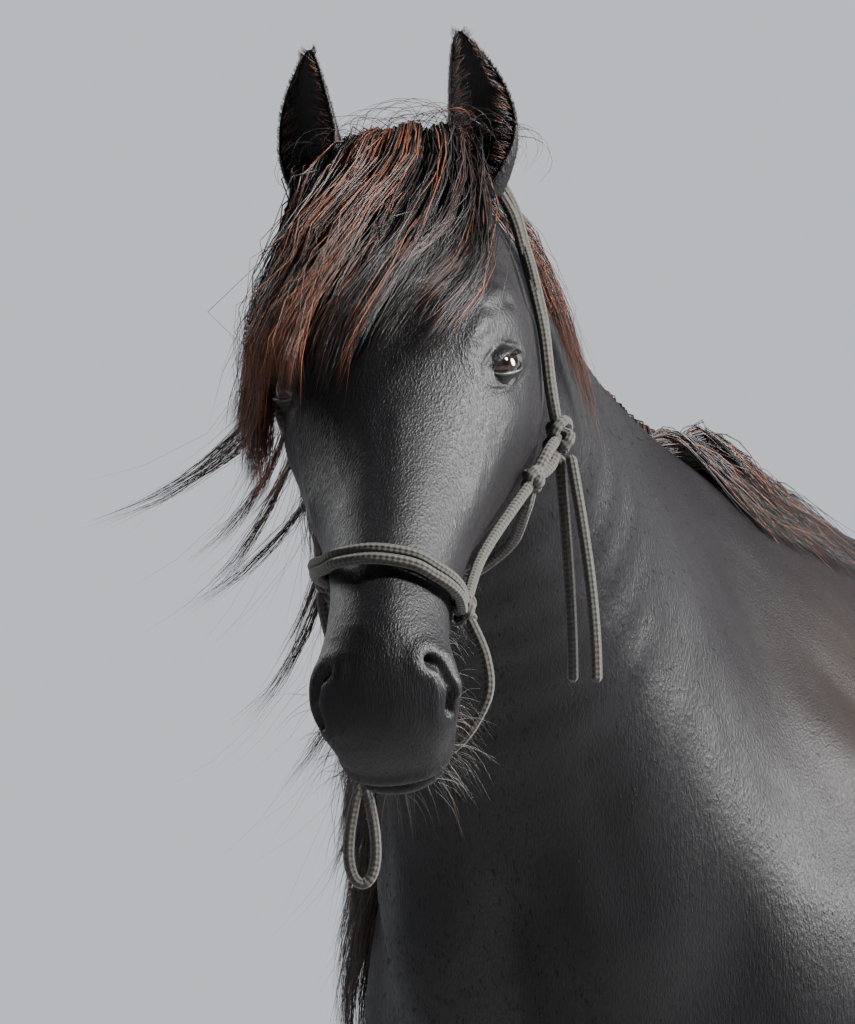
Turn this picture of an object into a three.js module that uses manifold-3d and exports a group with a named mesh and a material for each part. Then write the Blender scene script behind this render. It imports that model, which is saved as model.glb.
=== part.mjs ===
// A life-size standing Friesian horse with a rope halter, its head turned to its left.
// Millimetres, +Z up. The horse faces -Y and its left side is +X.
import * as THREE from "three";
import { mergeVertices } from "three/addons/utils/BufferGeometryUtils.js";
import Module from "manifold-3d";

const wasm = await Module();
wasm.setup();

const rad = THREE.MathUtils.degToRad;
const lerp = THREE.MathUtils.lerp;
const clamp01 = (t) => Math.min(1, Math.max(0, t));
const ease = (t) => THREE.MathUtils.smoothstep(t, 0, 1);
const vec = (x, y, z) => new THREE.Vector3(x, y, z);

// Driving dimensions
const GAP = 0.3; // between two pieces that touch
const FACE_PITCH = 47; // slope of the face below the horizontal, degrees
const HEAD_TURN = 26; // yaw of the head to the horse's left, degrees
const HEAD_ROLL = 6.5; // muzzle leans towards the horse's left, degrees
const POLL = vec(0, -868, 1917); // top of the head between the ears, before the turn
const WIND = vec(-0.82, -0.57, 0); // direction in which the long hair is blown
const ROPE = 4.8; // radius of the halter's rope
const SLIVER = 0.04; // faces thinner than this are merged into their neighbours
const HAIR_SLIVER = 1.1; // the same where locks cross

const HEAD_SIDES = 2; // steps between two control points of a head section
const HEAD_RINGS = 25;
const TRUNK_RINGS = 30;
const TRUNK_SIDES = 24;
const LEG_SIDES = 10;

// A seeded draw, so that the locks vary in the same way each time.
function draws(seed) {
  let state = seed;
  return () => {
    state = (state * 1664525 + 1013904223) % 4294967296;
    return state / 4294967296;
  };
}

// Columns of a table of stations, read smoothly at any place along it.
function track(rows) {
  const last = rows.length - 1;
  return (t) => {
    const at = clamp01(t) * last;
    const i = Math.min(last - 1, Math.floor(at));
    const f = at - i;
    const row = (k) => rows[Math.min(last, Math.max(0, k))];
    const [a, b, c, d] = [row(i - 1), row(i), row(i + 1), row(i + 2)];
    return b.map((_, k) => {
      const slopeB = (c[k] - a[k]) / 2;
      const slopeC = (d[k] - b[k]) / 2;
      const rise = c[k] - b[k];
      return b[k] + slopeB * f + (3 * rise - 2 * slopeB - slopeC) * f * f
        + (slopeB + slopeC - 2 * rise) * f * f * f;
    });
  };
}

// A closed surface through rings of points, its two ends closed across the ring.
function loft(rings) {
  const n = rings[0].length;
  const faces = [];
  for (let r = 0; r < rings.length - 1; r++)
    for (let i = 0; i < n; i++) {
      const j = (i + 1) % n;
      const [a, b, c, d] = [r * n + i, r * n + j, (r + 1) * n + j, (r + 1) * n + i];
      faces.push(a, b, c, a, c, d);
    }
  const end = (rings.length - 1) * n;
  for (let i = 0; i < Math.ceil(n / 2) - 1; i++) {
    const [a, b, c, d] = [i, i + 1, n - 2 - i, n - 1 - i];
    faces.push(a, c, b, a, d, c);
    faces.push(end + a, end + b, end + c, end + a, end + c, end + d);
  }
  return surface(rings.flat(), faces);
}

// A closed ring of sections.
function hoop(rows) {
  const n = rows[0].length;
  const faces = [];
  rows.forEach((_, r) => {
    for (let i = 0; i < n; i++) {
      const j = (i + 1) % n;
      const q = (r + 1) % rows.length;
      faces.push(r * n + i, r * n + j, q * n + j, r * n + i, q * n + j, q * n + i);
    }
  });
  return surface(rows.flat(), faces);
}

function surface(points, faces) {
  const geometry = new THREE.BufferGeometry().setFromPoints(points);
  geometry.setIndex(faces);
  return geometry;
}

// A three.js geometry as a solid, turned right side out.
function solid(geometry) {
  const bare = geometry.clone();
  bare.deleteAttribute("normal");
  bare.deleteAttribute("uv");
  const merged = mergeVertices(bare, 1e-3);
  const place = merged.attributes.position;
  const corner = [vec(), vec(), vec()];
  const kept = [];
  let volume = 0;
  for (let i = 0; i < merged.index.count; i += 3) {
    const ids = [0, 1, 2].map((k) => merged.index.getX(i + k));
    if (new Set(ids).size < 3) continue;
    kept.push(...ids);
    ids.forEach((id, k) => corner[k].fromBufferAttribute(place, id));
    volume += corner[0].dot(corner[1].clone().cross(corner[2]));
  }
  const triVerts = new Uint32Array(kept);
  if (volume < 0)
    for (let i = 0; i < kept.length; i += 3)
      [triVerts[i], triVerts[i + 1]] = [triVerts[i + 1], triVerts[i]];
  return new wasm.Manifold(new wasm.Mesh({ numProp: 3, vertProperties: place.array, triVerts }));
}

const join = (solids) => solids.reduce((sum, next) => sum.add(next));

// The largest closed piece of a cut solid.
function largest(cut) {
  return cut.decompose().reduce((best, piece) => (piece.volume() > best.volume() ? piece : best));
}

// Materials
const finish = (color, roughness) => new THREE.MeshStandardMaterial({ color, roughness, metalness: 0 });
const coat = finish(0x1b191b, 0.55);
const hair = finish(0x241a18, 0.5);
const horn = finish(0x2a2724, 0.45);
const eyeGlass = finish(0x120a06, 0.08);
const rope = finish(0x5b5648, 0.9);

const horse = new THREE.Group();

// Adds a solid to the model as a named mesh.
function add(name, made, material) {
  const shape = largest(made.simplify(SLIVER)).getMesh();
  const geometry = new THREE.BufferGeometry();
  geometry.setAttribute("position", new THREE.BufferAttribute(new Float32Array(shape.vertProperties), 3));
  geometry.setIndex(new THREE.BufferAttribute(shape.triVerts, 1));
  const mesh = new THREE.Mesh(geometry, material);
  mesh.name = name;
  horse.add(mesh);
}

// A closed section curve from half widths at shares of the way from top to bottom.
function section(top, bottom, levels, widths, count) {
  const across = vec(1, 0, 0);
  const flank = (side) => levels.map((f, k) =>
    top.clone().lerp(bottom, f).addScaledVector(across, side * widths[k]));
  const loop = [top, ...flank(1), bottom, ...flank(-1).reverse()];
  const curve = new THREE.CatmullRomCurve3(loop, true, "centripetal");
  return Array.from({ length: count }, (_, i) => curve.getPoint(i / count));
}

// The lift of a set of swellings and hollows at a point. Each lies along a line: from, to, radius, height.
function liftAt(p, forms) {
  return forms.reduce((sum, [from, to, radius, height]) => {
    const line = new THREE.Line3(vec(...from), vec(...to));
    const near = line.closestPointToPoint(vec(Math.abs(p.x), p.y, p.z), true, vec());
    const far = near.distanceTo(vec(Math.abs(p.x), p.y, p.z)) / radius;
    return sum + height * Math.exp(-far * far);
  }, 0);
}

// Trunk: torso and neck as one run of sections
// dorsal y, z, ventral y, z, then half widths at TRUNK_LEVELS of the way down
const TRUNK_LEVELS = [0.07, 0.25, 0.5, 0.75, 0.93];
const TRUNK = [
  [1228, 1420, 1250, 1225, 20, 50, 60, 50, 22],
  [1212, 1486, 1240, 1105, 50, 122, 152, 150, 76],
  [1140, 1556, 1186, 1000, 82, 186, 232, 226, 130],
  [1020, 1604, 1055, 925, 102, 230, 280, 268, 150],
  [890, 1624, 900, 896, 110, 248, 296, 276, 146],
  [760, 1610, 760, 890, 106, 246, 296, 272, 144],
  [630, 1580, 630, 876, 95, 226, 292, 272, 142],
  [490, 1560, 490, 858, 86, 216, 306, 290, 147],
  [350, 1554, 345, 844, 82, 210, 314, 302, 150],
  [210, 1568, 190, 838, 72, 192, 308, 302, 148],
  [100, 1594, 40, 844, 56, 168, 292, 290, 145],
  [25, 1616, -100, 862, 44, 150, 276, 276, 150],
  [-30, 1626, -215, 896, 39, 142, 264, 272, 164],
  [-78, 1634, -325, 962, 38, 132, 244, 264, 178],
  [-128, 1645, -412, 1050, 38, 121, 216, 246, 178],
  [-190, 1666, -466, 1152, 38, 111, 184, 212, 152],
  [-262, 1700, -508, 1250, 38, 104, 158, 174, 122],
  [-338, 1744, -546, 1338, 38, 98, 140, 146, 102],
  [-424, 1793, -586, 1418, 37, 93, 126, 127, 90],
  [-514, 1842, -628, 1488, 36, 88, 115, 115, 82],
  [-604, 1886, -668, 1550, 34, 84, 106, 106, 76],
  [-694, 1916, -702, 1606, 33, 79, 98, 97, 69],
  [-780, 1927, -734, 1654, 31, 72, 89, 86, 60],
  [-843, 1906, -767, 1698, 26, 58, 72, 68, 46],
];
const trunkAt = track(TRUNK);

// Turn of the neck and head: each section of the neck turns a little more, and the head turns as one.
const BEND_FROM = 0.64;
const BEND_STEPS = 30;
const trunkMiddle = (t) => {
  const [dy, dz, vy, vz] = trunkAt(t);
  return vec(0, (dy + vy) / 2, (dz + vz) / 2);
};

function bendTable() {
  const place = trunkMiddle(BEND_FROM);
  const rows = [];
  for (let i = 0; i <= BEND_STEPS; i++) {
    const turn = lerp(ease(i / BEND_STEPS), Math.sin((i / BEND_STEPS) * Math.PI / 2), 0.5);
    const yaw = rad(HEAD_TURN) * turn;
    rows.push([...place.toArray(), yaw, rad(HEAD_ROLL) * turn]);
    const at = (k) => trunkMiddle(lerp(BEND_FROM, 1, k / BEND_STEPS));
    place.add(at(i + 1).sub(at(i)).applyAxisAngle(vec(0, 0, 1), yaw));
  }
  return rows;
}
const bendAt = track(bendTable());

// A point of the straight horse's section t, where the turn takes it.
function turned(p, t) {
  const share = clamp01((t - BEND_FROM) / (1 - BEND_FROM));
  const [x, y, z, yaw, roll] = bendAt(share);
  const offset = p.clone().sub(trunkMiddle(lerp(BEND_FROM, 1, share)));
  offset.applyAxisAngle(vec(0, 1, 0), -roll);
  offset.applyAxisAngle(vec(0, 0, 1), yaw);
  return vec(x, y, z).add(offset);
}

const TRUNK_FORMS = [
  [[110, -90, 1560], [245, -330, 1140], 80, 20], // shoulder blade
  [[262, -150, 1210], [250, -190, 1010], 90, 20], // upper arm
  [[250, 30, 1120], [240, 10, 960], 70, -12], // hollow behind the elbow
  [[110, -230, 1570], [190, -440, 1180], 42, -13], // groove before the shoulder
  [[74, -480, 1240], [84, -380, 990], 70, 24], // breast muscles
  [[0, -510, 1250], [0, -380, 960], 34, -20], // furrow between them
  [[262, 560, 1350], [250, 650, 1130], 105, -22], // flank
  [[215, 750, 1560], [215, 760, 1520], 62, 14], // point of the hip
  [[110, 860, 1610], [150, 1080, 1480], 120, 12], // rump
  [[240, 900, 1290], [215, 890, 1060], 130, 20], // thigh
  [[140, 1160, 1390], [150, 1130, 1080], 90, 16], // buttock
];

function trunkRing(t, grow = 0) {
  const [dy, dz, vy, vz, ...widths] = trunkAt(t);
  const middle = trunkMiddle(t);
  return section(vec(0, dy, dz), vec(0, vy, vz), TRUNK_LEVELS, widths, TRUNK_SIDES).map((p) => {
    const out = p.clone().sub(middle).normalize();
    return p.clone().addScaledVector(out, liftAt(p, TRUNK_FORMS) + grow);
  });
}

function trunk(grow = 0) {
  const rings = [];
  for (let i = 0; i <= TRUNK_RINGS; i++) {
    const t = i / TRUNK_RINGS;
    rings.push(trunkRing(t, grow).map((p) => turned(p, t)));
  }
  return solid(loft(rings));
}

// A point of the ring, its share round counted from the top over the horse's left side.
function onRing(ring, round) {
  const at = (((round % 1) + 1) % 1) * ring.length;
  const i = Math.floor(at);
  const [a, b] = [ring[i], ring[(i + 1) % ring.length]];
  return a.clone().lerp(b, at - i);
}

// A point over the trunk, at a share t of its length and at a height over its surface.
function overTrunk(t, round, height) {
  const p = onRing(trunkRing(t), round);
  const out = p.clone().sub(trunkMiddle(t)).normalize();
  return turned(p.addScaledVector(out, height), t);
}

// Head, in its own frame: x to the left, y down the face from the poll, z out of the face
const DOWN_FACE = vec(0, -Math.cos(rad(FACE_PITCH)), -Math.sin(rad(FACE_PITCH)));
const OUT_OF_FACE = vec(0, -Math.sin(rad(FACE_PITCH)), Math.cos(rad(FACE_PITCH)));
function headPlace(p) {
  const place = POLL.clone().addScaledVector(DOWN_FACE, p.y).addScaledVector(OUT_OF_FACE, p.z);
  place.x += p.x;
  return turned(place, 1);
}

// down the face, height of the face, height of the jaw, then half widths at HEAD_LEVELS
const HEAD_LEVELS = [0.05, 0.16, 0.28, 0.42, 0.58, 0.76, 0.92];
const HEAD = [
  [-46, -70, -176, 22, 40, 50, 54, 54, 46, 24],
  [-24, -42, -200, 32, 54, 66, 70, 70, 60, 32],
  [0, -20, -220, 40, 64, 76, 80, 80, 68, 38],
  [40, 0, -246, 52, 78, 88, 90, 86, 70, 38],
  [85, 10, -266, 60, 88, 97, 99, 95, 74, 38],
  [130, 14, -276, 64, 96, 103, 104, 98, 74, 36],
  [172, 15, -274, 64, 101, 107, 106, 98, 72, 34],
  [212, 11, -263, 58, 98, 106, 104, 95, 68, 32],
  [255, 5, -241, 48, 84, 96, 97, 86, 59, 29],
  [300, 0, -213, 40, 67, 81, 82, 72, 50, 26],
  [350, -4, -186, 34, 54, 68, 69, 60, 44, 26],
  [400, -5, -165, 31, 46, 57, 59, 54, 42, 27],
  [450, -4, -150, 28, 42, 51, 54, 50, 42, 29],
  [500, -4, -142, 27, 43, 53, 56, 51, 43, 30],
  [535, -9, -141, 28, 47, 58, 60, 52, 44, 31],
  [560, -20, -145, 28, 46, 58, 60, 52, 44, 32],
  [578, -36, -147, 24, 40, 51, 54, 49, 41, 29],
  [592, -56, -140, 17, 30, 39, 43, 40, 34, 22],
  [600, -82, -128, 7, 14, 19, 21, 20, 17, 10],
];
const HEAD_END = HEAD[HEAD.length - 1][0];
const headAt = track(HEAD);

const FACE_FORMS = [
  [[84, 172, 0], [70, 200, 6], 30, 7], // brow over the eye
  [[102, 206, -44], [104, 210, -50], 24, -8], // eye socket
  [[60, 122, 10], [66, 132, 6], 26, -7], // hollow over the brow
  [[94, 255, -70], [70, 350, -68], 18, 6], // facial crest
  [[92, 110, -160], [88, 200, -190], 62, 8], // cheek muscle
  [[62, 535, -40], [62, 560, -58], 18, 6], // outer wing of the nostril
  [[38, 572, -34], [42, 582, -58], 15, 5], // inner wing of the nostril
  [[30, 586, -96], [0, 592, -96], 20, 5], // upper lip
  [[28, 574, -138], [0, 578, -140], 20, 3], // lower lip
  [[0, 552, -152], [0, 560, -154], 26, 6], // chin
  [[48, 440, -80], [46, 490, -76], 30, -4], // flat of the side of the nose
];

// The share of the head's table at a distance down the face.
function headShare(down) {
  const last = HEAD.length - 1;
  const i = Math.max(0, Math.min(last - 1, HEAD.findIndex((row) => row[0] > down) - 1));
  return (i + (down - HEAD[i][0]) / (HEAD[i + 1][0] - HEAD[i][0])) / last;
}

function headRing(t, grow = 0) {
  const [down, top, bottom, ...widths] = headAt(t);
  const count = (HEAD_LEVELS.length + 1) * 2 * HEAD_SIDES;
  const middle = (top + bottom) / 2;
  return section(vec(0, down, top), vec(0, down, bottom), HEAD_LEVELS, widths, count).map((p) => {
    const out = vec(p.x, 0, (p.z - middle) * 0.7).normalize();
    return p.clone().addScaledVector(out, liftAt(p, FACE_FORMS) + grow);
  });
}

function head(grow = 0) {
  const rings = [];
  for (let i = 0; i <= HEAD_RINGS; i++) rings.push(headRing(i / HEAD_RINGS, grow).map(headPlace));
  return solid(loft(rings));
}

// A point over the head, in its frame: share round from the top over the left side, height over the skin.
function overHead(down, round, height) {
  const ring = headRing(headShare(down));
  const p = onRing(ring, round);
  const step = 0.5 / ring.length;
  const along = onRing(ring, round + step).sub(onRing(ring, round - step));
  const out = vec(along.z, 0, -along.x).normalize();
  if (out.dot(p.clone().sub(ring[0].clone().lerp(ring[ring.length / 2], 0.5))) < 0) out.negate();
  return p.addScaledVector(out, height);
}

// A tapered body along a curve: half width and half thickness, across and off a side direction.
const roundProfile = (sides) => Array.from({ length: sides }, (_, k) => {
  const angle = ((k + 0.5) / sides) * 2 * Math.PI;
  return [Math.cos(angle), Math.sin(angle)];
});
function strip(places, halves, sideways, steps, profile) {
  const curve = new THREE.CatmullRomCurve3(places, false, "centripetal");
  const size = track(halves);
  const rings = [];
  for (let i = 0; i <= steps; i++) {
    const t = i / steps;
    const p = curve.getPoint(t);
    const along = curve.getTangent(t);
    const across = sideways.clone().addScaledVector(along, -sideways.dot(along)).normalize();
    const off = along.clone().cross(across);
    const [wide, thick] = size(t);
    rings.push(profile.map(([a, o]) =>
      p.clone().addScaledVector(across, a * wide).addScaledVector(off, o * thick)));
  }
  return solid(loft(rings));
}

// A round rope through places.
function cord(places, radius, steps, sides = 5) {
  const curve = new THREE.CatmullRomCurve3(places, false, "centripetal");
  const frames = curve.computeFrenetFrames(steps, false);
  const rings = frames.tangents.map((_, i) => {
    const p = curve.getPointAt(i / steps);
    return Array.from({ length: sides }, (__, k) => {
      const angle = ((k + 0.5) / sides) * 2 * Math.PI;
      return p.clone().addScaledVector(frames.normals[i], Math.cos(angle) * radius)
        .addScaledVector(frames.binormals[i], Math.sin(angle) * radius);
    });
  });
  return solid(loft(rings));
}

function knot(place, radius) {
  const ball = new THREE.DodecahedronGeometry(radius * 1.06);
  ball.translate(place.x, place.y, place.z);
  return solid(ball);
}

// A flat lock of hair that tapers along its path. Its width lies along a side direction.
const LOCK_PROFILE = [[-1, -0.35], [0, 1], [1, -0.35]];
function lock(places, wide, thick, sideways, steps) {
  const halves = [
    [wide * 0.6, thick], [wide, thick], [wide * 0.95, thick], [wide * 0.7, thick * 0.8], [1.4, 1],
  ];
  return strip(places, halves, sideways, steps, LOCK_PROFILE);
}

// Eyes and lids, in the head's frame
const EYE = { centre: vec(81, 211, -50), radius: 22 };
const LID = { long: 20, upper: 10, lower: 8, thick: 4.6, over: 1.4 };
const EYE_OUT = vec(0.9, 0.22, 0.4).normalize();
const EYE_SLANT = vec(0, 0.8, 0.6); // the inner corner lies lower on the face and further out
const EYE_LONG = EYE_SLANT.clone().addScaledVector(EYE_OUT, -EYE_SLANT.dot(EYE_OUT)).normalize();
const EYE_UP = EYE_OUT.clone().cross(EYE_LONG).normalize();
if (EYE_UP.z < 0) EYE_UP.negate();
const mirror = (p, side) => vec(p.x * side, p.y, p.z);

function eyeball(side, grow = 0) {
  const ball = new THREE.SphereGeometry(EYE.radius + grow, 12, 8);
  const c = headPlace(mirror(EYE.centre, side));
  ball.translate(c.x, c.y, c.z);
  return solid(ball);
}

function lids(side) {
  const steps = 10;
  const sides = 5;
  const rows = Array.from({ length: steps }, (_, i) => {
    const turn = (i / steps) * 2 * Math.PI;
    const high = Math.sin(turn) > 0 ? LID.upper : LID.lower;
    const away = EYE_LONG.clone().multiplyScalar(Math.cos(turn)).addScaledVector(EYE_UP, Math.sin(turn));
    const rim = EYE_OUT.clone().multiplyScalar(EYE.radius * 0.9)
      .addScaledVector(EYE_LONG, Math.cos(turn) * LID.long)
      .addScaledVector(EYE_UP, Math.sin(turn) * high)
      .setLength(EYE.radius + LID.over);
    return Array.from({ length: sides }, (__, k) => {
      const angle = (k / sides) * 2 * Math.PI;
      const p = EYE.centre.clone().add(rim)
        .addScaledVector(away, (Math.cos(angle) + 0.6) * LID.thick)
        .addScaledVector(EYE_OUT, Math.sin(angle) * LID.thick * 0.7);
      return headPlace(mirror(p, side));
    });
  });
  return solid(hoop(rows));
}

// A nostril is a comma-shaped hollow in the side of the muzzle.
const NOSTRIL = [vec(48, 543, -28), vec(56, 551, -35), vec(61, 564, -50), vec(55, 575, -67)];
function nostril(side) {
  const places = NOSTRIL.map((p) => headPlace(mirror(p, side)));
  const inward = headPlace(vec(0, 556, -52)).sub(headPlace(vec(side * 60, 556, -46))).normalize();
  return strip(places, [[5, 4], [16, 7], [17, 8], [6, 5]], inward, 7, roundProfile(8));
}

// The mouth is a thin slit round the front of the muzzle.
const MOUTH = { corner: 528, cornerHeight: -94, frontHeight: -122, deep: 8, high: 2 };
function mouth() {
  const heightAt = (down) => lerp(MOUTH.cornerHeight, MOUTH.frontHeight, ease((down - 535) / 53));
  const halfWidth = (down) => Math.max(...headRing(headShare(down))
    .filter((p) => Math.abs(p.z - heightAt(down)) < 14).map((p) => p.x));
  const left = [MOUTH.corner, 545, 562, 577, 588].map((down, i) => {
    const inset = i === 0 ? -3 : 1;
    return vec(halfWidth(down) - inset, down, heightAt(down));
  });
  const right = left.map((p) => mirror(p, -1)).reverse();
  const front = vec(0, HEAD_END - 4, MOUTH.frontHeight);
  const curve = new THREE.CatmullRomCurve3([...left, front, ...right], false, "centripetal");
  const steps = 16;
  const rings = Array.from({ length: steps + 1 }, (_, i) => {
    const p = curve.getPoint(i / steps);
    const along = curve.getTangent(i / steps);
    const out = vec(-along.y, along.x, 0).normalize();
    const taper = Math.sin(Math.PI * clamp01((i / steps) * 0.9 + 0.05)) ** 0.4;
    return [[1, 0], [0, 1], [-1, 0], [0, -1]].map(([o, h]) => {
      const q = p.clone().addScaledVector(out, o * MOUTH.deep * taper);
      q.z += h * MOUTH.high * taper;
      return headPlace(q);
    });
  });
  return solid(loft(rings));
}

// An ear is a rolled leaf that stands upright, its cup open to the front.
const EAR = { base: vec(62, 10, -46), length: 140, half: 29, wall: 4.5, turn: 10 };
function earRings(side, grow, hollow) {
  const pitch = rad(FACE_PITCH);
  const turn = rad(EAR.turn + (side < 0 ? 10 : 0));
  const front = vec(Math.tan(turn), Math.cos(pitch), Math.sin(pitch)).normalize();
  const up = vec(0.1, -Math.sin(pitch), Math.cos(pitch)).addScaledVector(front, -0.1).normalize();
  const outward = up.clone().cross(front).normalize();
  if (outward.x < 0) outward.negate();
  const steps = 8;
  const arc = 7;
  const rings = Array.from({ length: steps + 1 }, (_, i) => {
    const t = i / steps;
    const half = EAR.half * Math.sin(Math.PI * (0.22 + 0.775 * Math.pow(t, 1.05))) ** 0.75 + 0.8;
    const open = lerp(0.3, 1.45, clamp01(t * 2));
    const wall = Math.min(lerp(EAR.wall, 1.6, t), half * 0.6);
    const centre = EAR.base.clone().addScaledVector(up, EAR.length * t)
      .addScaledVector(outward, 9 * Math.sin(t * Math.PI) - 13 * t * t)
      .addScaledVector(front, 7 * t * t);
    const deep = lerp(0.85, 0.5, t);
    const place = (angle, radius) => {
      const p = centre.clone().addScaledVector(outward, Math.sin(angle) * radius)
        .addScaledVector(front, (Math.cos(angle) * deep + (1 - deep) * 0.4) * radius);
      return headPlace(mirror(p, side));
    };
    const angles = Array.from({ length: arc + 1 }, (__, k) => lerp(open, 2 * Math.PI - open, k / arc));
    const outer = angles.map((a) => place(a, half + grow));
    return hollow ? [...outer, ...angles.reverse().map((a) => place(a, half - wall))] : outer;
  });
  return rings;
}
const ear = (side) => solid(loft(earRings(side, 0, true)));
const earBlock = (side) => solid(loft(earRings(side, GAP, false)));

// Legs: side place, y, z, half width, half depth
const FORE_LEG = [
  [168, -190, 1060, 66, 100],
  [166, -172, 970, 70, 112],
  [162, -160, 885, 66, 97],
  [156, -155, 805, 58, 81],
  [150, -154, 715, 49, 65],
  [146, -156, 625, 42, 52],
  [144, -159, 550, 41, 47],
  [143, -161, 505, 47, 51],
  [142, -161, 465, 48, 52],
  [141, -158, 430, 43, 47],
  [140, -153, 392, 34, 42],
  [139, -151, 330, 30, 40],
  [138, -151, 280, 31, 42],
  [137, -150, 245, 38, 50],
  [136, -152, 218, 39, 50],
  [135, -165, 184, 35, 41],
  [134, -186, 145, 35, 38],
  [134, -206, 112, 43, 46],
  [134, -217, 90, 52, 56],
  [134, -222, 60, 52, 56],
];
const HIND_LEG = [
  [160, 960, 1150, 88, 158],
  [158, 968, 1070, 86, 156],
  [152, 985, 990, 77, 138],
  [147, 1018, 910, 67, 114],
  [143, 1062, 830, 57, 90],
  [141, 1106, 755, 47, 69],
  [139, 1146, 695, 43, 58],
  [138, 1170, 645, 46, 63],
  [137, 1178, 598, 47, 61],
  [137, 1176, 552, 43, 51],
  [136, 1173, 500, 35, 45],
  [135, 1169, 420, 31, 42],
  [134, 1165, 345, 31, 42],
  [133, 1161, 285, 33, 44],
  [133, 1158, 250, 39, 51],
  [132, 1152, 220, 39, 50],
  [132, 1134, 180, 35, 41],
  [131, 1112, 140, 35, 38],
  [131, 1094, 110, 43, 46],
  [131, 1084, 90, 51, 55],
  [131, 1080, 60, 51, 55],
];
// name, table, side, how far the hoof stands ahead of square, row where the lower leg starts
const LEGS = [
  ["fore_left", FORE_LEG, 1, 46, 8],
  ["fore_right", FORE_LEG, -1, -34, 8],
  ["hind_left", HIND_LEG, 1, -58, 8],
  ["hind_right", HIND_LEG, -1, 62, 8],
];

// A point of a leg in its stance: the leg leans so that the hoof is ahead of square.
function stance(p, table, ahead) {
  const high = table[0][2];
  return vec(p.x, p.y - ahead * clamp01((high - p.z) / (high - 60)), p.z);
}

function leg(table, side, ahead) {
  const at = track(table);
  const last = table.length - 1;
  const rings = table.map((row, i) => {
    const [x, y, z, wide, deep] = row;
    const next = at((i + 0.4) / last);
    const prior = at((i - 0.4) / last);
    const along = vec(0, next[1] - prior[1], next[2] - prior[2]).normalize();
    const fore = vec(0, along.z, -along.y);
    return Array.from({ length: LEG_SIDES }, (_, k) => {
      const angle = ((k + 0.5) / LEG_SIDES) * 2 * Math.PI;
      const p = vec(x * side, y, z).addScaledVector(fore, Math.cos(angle) * deep);
      p.x += Math.sin(angle) * wide * side;
      return stance(p, table, ahead);
    });
  });
  return solid(loft(rings));
}

// A hoof has a flat sole, a sloping toe and a lower coronet at the heel.
const HOOF = { top: 92, heelTop: 62, toeRun: 36, heelRun: 8, sides: 18, spread: 1.24, over: 3 };
function hoof(table, side, ahead, grow = 0) {
  const [x, y, , wide, deep] = table[table.length - 1];
  const rings = [0, 0.1, 0.55, 1].map((t) => Array.from({ length: HOOF.sides }, (_, k) => {
    const angle = ((k + 0.5) / HOOF.sides) * 2 * Math.PI;
    const front = Math.cos(angle);
    const top = lerp(HOOF.heelTop, HOOF.top, (front + 1) / 2) + grow;
    const spread = lerp(HOOF.spread, 1, t) * (t ? 1 : 0.96);
    const run = lerp(front > 0 ? HOOF.toeRun : HOOF.heelRun, 0, t) * Math.abs(front);
    const p = vec(
      (x + Math.sin(angle) * (wide * spread + HOOF.over + grow)) * side,
      y - front * (deep * spread + HOOF.over + grow) - run,
      60,
    );
    return stance(p, table, ahead).setZ(top * t);
  }));
  return solid(loft(rings));
}

// Tail: the line of the hair, with its half width and half depth at each place down it
const TAIL = [
  [1170, 1490, 30, 34], [1232, 1500, 42, 42], [1282, 1462, 56, 52], [1312, 1390, 72, 62],
  [1326, 1290, 88, 72], [1332, 1160, 102, 80], [1334, 1000, 112, 84], [1332, 820, 116, 86],
  [1328, 640, 114, 82], [1322, 460, 106, 74],
  [1316, 300, 94, 66], [1312, 170, 84, 60], [1310, 90, 76, 54],
];
const TAIL_LOCKS = { count: 12, wide: 30, thick: 11, sunk: 0.35 };
function tail() {
  const draw = draws(11);
  const at = track(TAIL);
  const { count, wide, thick, sunk } = TAIL_LOCKS;
  const core = strip(TAIL.slice(0, 7).map(([y, z]) => vec(0, y, z)),
    TAIL.slice(0, 7).map(([, , across, deep], i) => [across, deep].map((v) => v * lerp(0.9, 0.35, i / 6))),
    vec(1, 0, 0), 6, roundProfile(8));
  const locks = [];
  for (let i = 0; i < count; i++) {
    const angle = (i / count) * 2 * Math.PI + 0.2 * draw();
    const start = 0.1 + 0.16 * draw();
    const end = 0.97 - 0.16 * draw();
    const places = [0, 0.12, 0.3, 0.5, 0.7, 0.86, 1].map((share) => {
      const [y, z, across, deep] = at(lerp(start, end, share));
      const out = share ? 1 - 0.17 * (i % 2) : sunk;
      const curl = 9 * Math.sin(7 * share + i);
      return vec(Math.sin(angle) * across * out + curl, y - Math.cos(angle) * deep * out, z);
    });
    const flat = vec(Math.cos(angle), Math.sin(angle), 0);
    locks.push(lock(places, wide * (0.85 + 0.3 * draw()), thick, flat, 7));
  }
  return join([core, ...locks]).simplify(HAIR_SLIVER);
}

// Mane: locks from the crest over the right side of the neck, then down and with the wind
const MANE = { from: 0.945, to: 0.6, sunk: 14, count: 10, wide: 36, thick: 9, layer: 16 };
function manePath(u, lift, far, curl, blow) {
  const t = lerp(MANE.from, MANE.to, u);
  const blown = lerp(185, 150, u) * blow;
  const drop = lerp(225, 430, Math.pow(u, 0.7));
  const fall = overTrunk(t, -0.2, 8 + lift);
  const clings = lerp(0.8, 1, ease((u - 0.3) / 0.3)) * clamp01(1.3 - 1.3 * blow);
  const hang = (share) => {
    const loose = fall.clone().addScaledVector(WIND, blown * share * share)
      .add(vec(-30 * share, curl * Math.sin(share * 5), lift * share - drop * Math.sin(1.3 * share)));
    return loose.lerp(overTrunk(t - 0.03 * share, -0.2 - 0.17 * share, 10 + lift), clings);
  };
  return [overTrunk(t, 0.01, -MANE.sunk), overTrunk(t, -0.04, lift), overTrunk(t, -0.11, 6 + lift), fall,
    hang(0.33 * far), hang(0.66 * far), hang(far)];
}

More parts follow.
